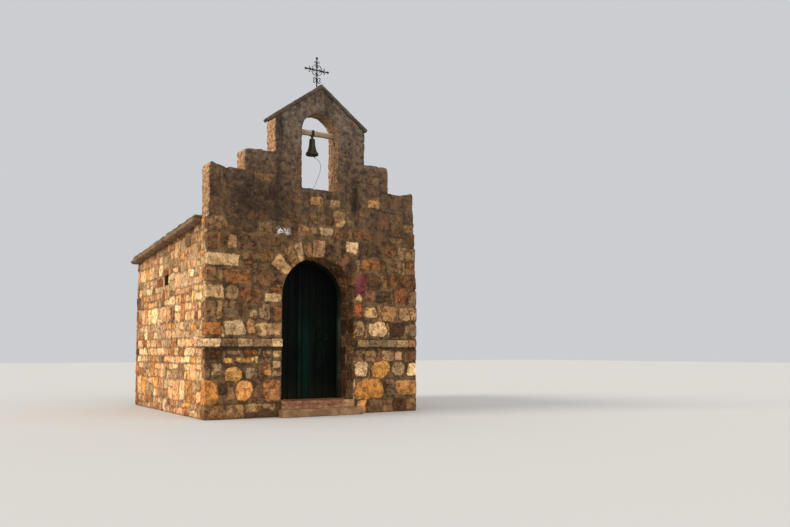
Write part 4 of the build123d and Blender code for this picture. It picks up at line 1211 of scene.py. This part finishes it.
# Outline of the bell: share of the lip's radius, and of the bell's height
BELL_OUTSIDE = (
    (0.0, 1.030), (0.07, 1.028), (0.085, 1.005), (0.20, 1.0), (0.30, 0.992), (0.375, 0.968), (0.42, 0.925),
    (0.435, 0.895), (0.46, 0.890), (0.468, 0.880), (0.46, 0.870), (0.448, 0.865), (0.462, 0.80), (0.482, 0.70),
    (0.505, 0.61), (0.535, 0.52), (0.575, 0.44), (0.622, 0.37), (0.645, 0.345), (0.668, 0.340), (0.674, 0.329),
    (0.668, 0.318), (0.672, 0.305), (0.72, 0.262), (0.79, 0.212), (0.87, 0.168), (0.93, 0.140), (0.975, 0.112),
    (0.998, 0.075), (0.995, 0.03), (0.97, 0.004),
)
BELL_INSIDE = (
    (0.86, 0.0), (0.80, 0.03), (0.72, 0.10), (0.63, 0.20), (0.54, 0.36), (0.47, 0.52), (0.41, 0.68), (0.36, 0.82),
    (0.27, 0.90), (0.14, 0.925), (0.0, 0.93),
)


def cast_bell(facets):
    """The bell as one turned shell with its mouldings, and the eye that hangs on the pin."""
    (x0, y0, lip), (x1, y1, top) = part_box("bell")
    centre, radius, high = Vector(((x0 + x1) / 2, (y0 + y1) / 2, 0.0)), (x1 - x0) / 2, top - 0.027 - lip
    bm = bmesh.new()
    rings = []
    for share, level in BELL_OUTSIDE + BELL_INSIDE:
        r, z = share * radius, lip + level * high
        rings.append([bm.verts.new(centre + Vector((r * math.cos(a), r * math.sin(a), z)))
                      for a in (2 * math.pi * k / facets for k in range(facets if r else 1))])
    for one, two in zip(rings, rings[1:]):
        bridge(bm, one, two)
    bmesh.ops.recalc_face_normals(bm, faces=bm.faces)
    round_it, through, pivot, eye = 24, 10, centre + Vector((0, 0, top - 0.010)), []
    for a in (2 * math.pi * k / round_it for k in range(round_it)):
        out = Vector((0, math.cos(a), math.sin(a)))
        eye.append([bm.verts.new(pivot + out * 0.0073
                                 + (out * math.cos(b) + Vector((1, 0, 0)) * math.sin(b)) * 0.0026)
                    for b in (2 * math.pi * j / through for j in range(through))])
    for one, two in zip(eye, eye[1:] + eye[:1]):
        bridge(bm, one, two)
    mesh = smooth(stored(bm, bpy.data.meshes.new("bell_shell")))
    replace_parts(piece("bell_shell", mesh, FINISH["bronze"], "bell"), "bell")


BOARD, GROOVE = 0.118, 0.005    # width of a door board, and half the width and the depth of the groove beside it
TOUCHING = 0.0005               # how near a point lies to a face or a joint that it belongs to


def board_leaf(name, node, body, seed):
    """A door leaf of upright boards, with a groove on both faces at each joint."""
    r = random.Random(seed)
    bm = opened(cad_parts[node].data)
    (x0, y0, _), (x1, y1, _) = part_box(node)
    middle, half = (y0 + y1) / 2, (y1 - y0) / 2
    joints = [x for x in ((k + 0.5) * BOARD for k in range(-6, 6)) if x0 + 0.03 < x < x1 - 0.03]
    for x in joints:
        for beside in (-GROOVE, 0.0, GROOVE):
            bmesh.ops.bisect_plane(bm, geom=bm.verts[:] + bm.edges[:] + bm.faces[:], plane_co=(x + beside, 0, 0),
                                   plane_no=(1, 0, 0))
    stops = [x0 - 1.0] + joints + [x1 + 1.0]
    sink = [r.uniform(0.0, 0.0025) for _ in stops]
    for v in bm.verts:
        if abs(abs(v.co.y - middle) - half) > TOUCHING:
            continue
        inward = -math.copysign(1.0, v.co.y - middle)
        if any(abs(v.co.x - x) < TOUCHING for x in joints):
            v.co.y += inward * GROOVE
        else:
            board = next(k for k in range(len(stops) - 1) if stops[k] <= v.co.x < stops[k + 1])
            v.co.y += inward * sink[board]
    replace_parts(piece(name, stored(bm, bpy.data.meshes.new(name)), FINISH["door"], body), node)


# Floor, light and camera
def lamp(name, place, spread_deg, strength, colour):
    """A soft sun that shines from a place to the middle."""
    data = bpy.data.lights.new(name, "SUN")
    data.angle, data.energy, data.color = math.radians(spread_deg), strength, colour
    link(name, data).rotation_euler = (-Vector(place)).to_track_quat("-Z", "Y").to_euler()


def light_world(scene, strength):
    """Even light from all round, before a plain backdrop."""
    world = scene.world = scene.world or bpy.data.worlds.new("Soft light")
    world.use_nodes = True
    tree = world.node_tree
    tree.nodes.clear()
    backdrop = add_node(tree, "LightPath", {}, "Is Camera Ray")
    for ray in ("Is Glossy Ray", "Is Transmission Ray"):
        backdrop = add_node(tree, "Math", {0: backdrop, 1: add_node(tree, "LightPath", {}, ray)}, operation="MAXIMUM")
    light = add_node(tree, "Background", {"Color": (0.955, 0.965, 0.985, 1.0), "Strength": strength})
    seen = add_node(tree, "Background", {"Color": (0.60, 0.615, 0.64, 1.0)})
    add_node(tree, "OutputWorld", {0: add_node(tree, "MixShader", {0: backdrop, 1: light, 2: seen})})


def set_stage(studio):
    scene = bpy.context.scene
    bm = bmesh.new()
    bmesh.ops.create_grid(bm, x_segments=2, y_segments=2, size=60.0)
    mesh = stored(bm, bpy.data.meshes.new("studio_floor"))
    mesh.materials.append(Finish("Studio floor", 0.95, 0.1).finish((*studio.floor, 1.0)))
    floor = link("studio_floor", mesh)
    floor.location = (0, 0, -0.001)

    light_world(scene, studio.sky)
    lamp("side_light", (-11.0, 2.0, 6.5), 24.0, studio.key, (1.0, 0.94, 0.84))
    lamp("front_fill", (4.0, -14.0, 8.0), 60.0, studio.key * 0.24, (1.0, 0.97, 0.93))

    data = bpy.data.cameras.new("camera")
    data.lens, data.sensor_width, data.shift_y, data.clip_end = 35.45, 36.0, 0.055, 300.0
    camera = scene.camera = link("camera", data)
    camera.location = (-5.241, -12.412, 0.942)
    camera.rotation_euler = (math.radians(93.31), 0.0, math.radians(-32.083))
    scene.view_settings.view_transform = "Standard"


# Settings
class WallSettings(bpy.types.PropertyGroup):
    seed: bpy.props.IntProperty(name="Seed", description="Changes which stone lies where", default=7, min=0)
    grain: bpy.props.FloatProperty(name="Grain", description="Spacing of the points on the front wall's face",
                                   default=0.0115, min=0.006, unit="LENGTH")


class RopeSettings(bpy.types.PropertyGroup):
    diameter: bpy.props.FloatProperty(name="Rope diameter", description="Thickness of the bell rope",
                                      default=0.008, unit="LENGTH")
    length: bpy.props.FloatProperty(name="Rope length", description="Whole length with the coil",
                                    default=3.3, unit="LENGTH")
    turns: bpy.props.FloatProperty(name="Coil turns", description="Turns of the coil on the roof",
                                   default=7.6, min=1.0)


class BellSettings(bpy.types.PropertyGroup):
    bell_facets: bpy.props.IntProperty(name="Bell facets", description="Facets round the bell", default=72, min=24)


class StudioSettings(bpy.types.PropertyGroup):
    floor: bpy.props.FloatVectorProperty(name="Floor colour", description="Colour of the studio floor",
                                         default=(0.58, 0.565, 0.54), subtype="COLOR", min=0, max=1)
    sky: bpy.props.FloatProperty(name="Soft light", description="Strength of the even light from all round",
                                 default=0.84, min=0)
    key: bpy.props.FloatProperty(name="Side light", description="Strength of the soft light from the left",
                                 default=2.3, min=0)


# Nodes of the frame that keep their shape and get a finish
FINISHED_NODES = {
    "mortar": ("front_wall_left", "front_wall_right", "door_arch", "wall_over_door_left", "wall_over_door_right",
               "left_wall", "right_wall", "back_wall"),
    "floor": ("floor_slab",),
    "strip": ("door_strip",),
    "frame": ("door_frame",),
    "iron": ("door_straps_left", "door_straps_right", "door_pintles", "bell_collar", "cross_shaft", "cross_arms",
             "cross_corner_scrolls", "cross_foot_scrolls", "bell_clapper"),
}


class CHAPEL_OT_finishes(bpy.types.Operator):
    """Mix the stone, mortar, paint, iron, wood and rope finishes"""
    bl_idname = "chapel.finishes"
    bl_label = "Mix finishes"

    def execute(self, context):
        make_finishes()
        for finish, nodes in FINISHED_NODES.items():
            for node in nodes:
                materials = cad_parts[node].data.materials
                materials.clear()
                materials.append(FINISH[finish])
        return {"FINISHED"}


class CHAPEL_OT_stage(bpy.types.Operator):
    """Set up the floor, the soft light and the camera"""
    bl_idname = "chapel.stage"
    bl_label = "Set stage"

    def execute(self, context):
        set_stage(context.scene.chapel_studio)
        return {"FINISHED"}


class CHAPEL_OT_rope(bpy.types.Operator):
    """Hang the bell rope and coil its end on the roof"""
    bl_idname = "chapel.rope"
    bl_label = "Hang rope"

    def execute(self, context):
        hang_rope(context.scene.chapel_rope)
        return {"FINISHED"}


class CHAPEL_OT_plan(bpy.types.Operator):
    """Plan where each stone lies"""
    bl_idname = "chapel.plan"
    bl_label = "Plan stones"

    def execute(self, context):
        seed = context.scene.chapel_walls.seed
        FIELDS.update(walls=plan_walls(seed), jambs=plan_jambs(seed + 20), blocks=plan_blocks(seed + 40))
        return {"FINISHED"}


class CHAPEL_OT_walls(bpy.types.Operator):
    """Lay the rubble stones of the four walls"""
    bl_idname = "chapel.walls"
    bl_label = "Lay wall stones"

    def execute(self, context):
        lay_walls(context.scene.chapel_walls.grain)
        return {"FINISHED"}


class CHAPEL_OT_doorway(bpy.types.Operator):
    """Line the doorway with stones"""
    bl_idname = "chapel.doorway"
    bl_label = "Line doorway"

    def execute(self, context):
        sheet("stones_doorway", spread(0.0, REVEAL, step=0.012), spread(0.0, OUTLINE, step=0.012), in_doorway,
              FIELDS["jambs"], "rubble")
        return {"FINISHED"}


class CHAPEL_OT_belt(bpy.types.Operator):
    """Set the stones of the belt course"""
    bl_idname = "chapel.belt"
    bl_label = "Set belt stones"

    def execute(self, context):
        lay_belt(context.scene.chapel_walls.seed + 30)
        return {"FINISHED"}


class CHAPEL_OT_gable(bpy.types.Operator):
    """Weather the gable, its steps, the belfry and the coping"""
    bl_idname = "chapel.gable"
    bl_label = "Weather gable"

    def execute(self, context):
        crust_gable()
        worn("coping_slabs", ("coping_left", "coping_right"), "coping", 0.012, 2, 0.006, 12.0, 2)
        return {"FINISHED"}


class CHAPEL_OT_roof(bpy.types.Operator):
    """Weather the roof slab and its mossy cap"""
    bl_idname = "chapel.roof"
    bl_label = "Weather roof"

    def execute(self, context):
        worn("roof_slab_worn", ("roof_slab",), "roof", 0.03, 1, 0.006, 5.0, 3)
        worn("roof_cap_worn", ("roof_cap",), "moss", 0.025, 2, 0.012, 6.0, 4)
        return {"FINISHED"}


class CHAPEL_OT_steps(bpy.types.Operator):
    """Wear down the threshold and the step"""
    bl_idname = "chapel.steps"
    bl_label = "Wear steps"

    def execute(self, context):
        worn("threshold_worn", ("threshold",), "step", 0.012, 3, 0.008, 9.0, 5)
        worn("front_step_worn", ("front_step",), "step", 0.010, 3, 0.012, 11.0, 6)
        return {"FINISHED"}


class CHAPEL_OT_bell(bpy.types.Operator):
    """Cast the bell and age its beam"""
    bl_idname = "chapel.bell"
    bl_label = "Cast bell"

    def execute(self, context):
        cast_bell(context.scene.chapel_bell.bell_facets)
        worn("bell_beam_worn", ("bell_beam",), "wood", 0.008, 2, 0.004, 14.0, 7)
        return {"FINISHED"}


class CHAPEL_OT_doors(bpy.types.Operator):
    """Board the two door leaves"""
    bl_idname = "chapel.doors"
    bl_label = "Board doors"

    def execute(self, context):
        board_leaf("door_boards_left", "door_leaf_left", "left_leaf", 11)
        board_leaf("door_boards_right", "door_leaf_right", "right_leaf", 12)
        return {"FINISHED"}


OPERATORS = (CHAPEL_OT_finishes, CHAPEL_OT_stage, CHAPEL_OT_rope, CHAPEL_OT_plan, CHAPEL_OT_walls,
             CHAPEL_OT_doorway, CHAPEL_OT_belt, CHAPEL_OT_gable, CHAPEL_OT_roof, CHAPEL_OT_steps, CHAPEL_OT_bell,
             CHAPEL_OT_doors)


class CHAPEL_PT_panel(bpy.types.Panel):
    """Lists the chapel's pieces and their settings"""
    bl_idname = "CHAPEL_PT_panel"
    bl_label = "Chapel"
    bl_space_type = "VIEW_3D"
    bl_region_type = "UI"
    bl_category = "Chapel"

    def draw(self, context):
        for group in SETTINGS:
            settings = getattr(context.scene, group)
            for name in settings.__annotations__:
                self.layout.prop(settings, name)
        for operator in OPERATORS:
            self.layout.operator(operator.bl_idname)


SETTINGS = {"chapel_walls": WallSettings, "chapel_rope": RopeSettings, "chapel_bell": BellSettings,
            "chapel_studio": StudioSettings}


def register():
    for kind in (*SETTINGS.values(), *OPERATORS, CHAPEL_PT_panel):
        bpy.utils.register_class(kind)
    for name, kind in SETTINGS.items():
        setattr(bpy.types.Scene, name, bpy.props.PointerProperty(type=kind))


def unregister():
    for name in SETTINGS:
        delattr(bpy.types.Scene, name)
    for kind in reversed((*SETTINGS.values(), *OPERATORS, CHAPEL_PT_panel)):
        bpy.utils.unregister_class(kind)


def main():
    register()
    for operator in OPERATORS:
        group, name = operator.bl_idname.split(".")
        getattr(getattr(bpy.ops, group), name)()


if __name__ == "__main__":
    main()
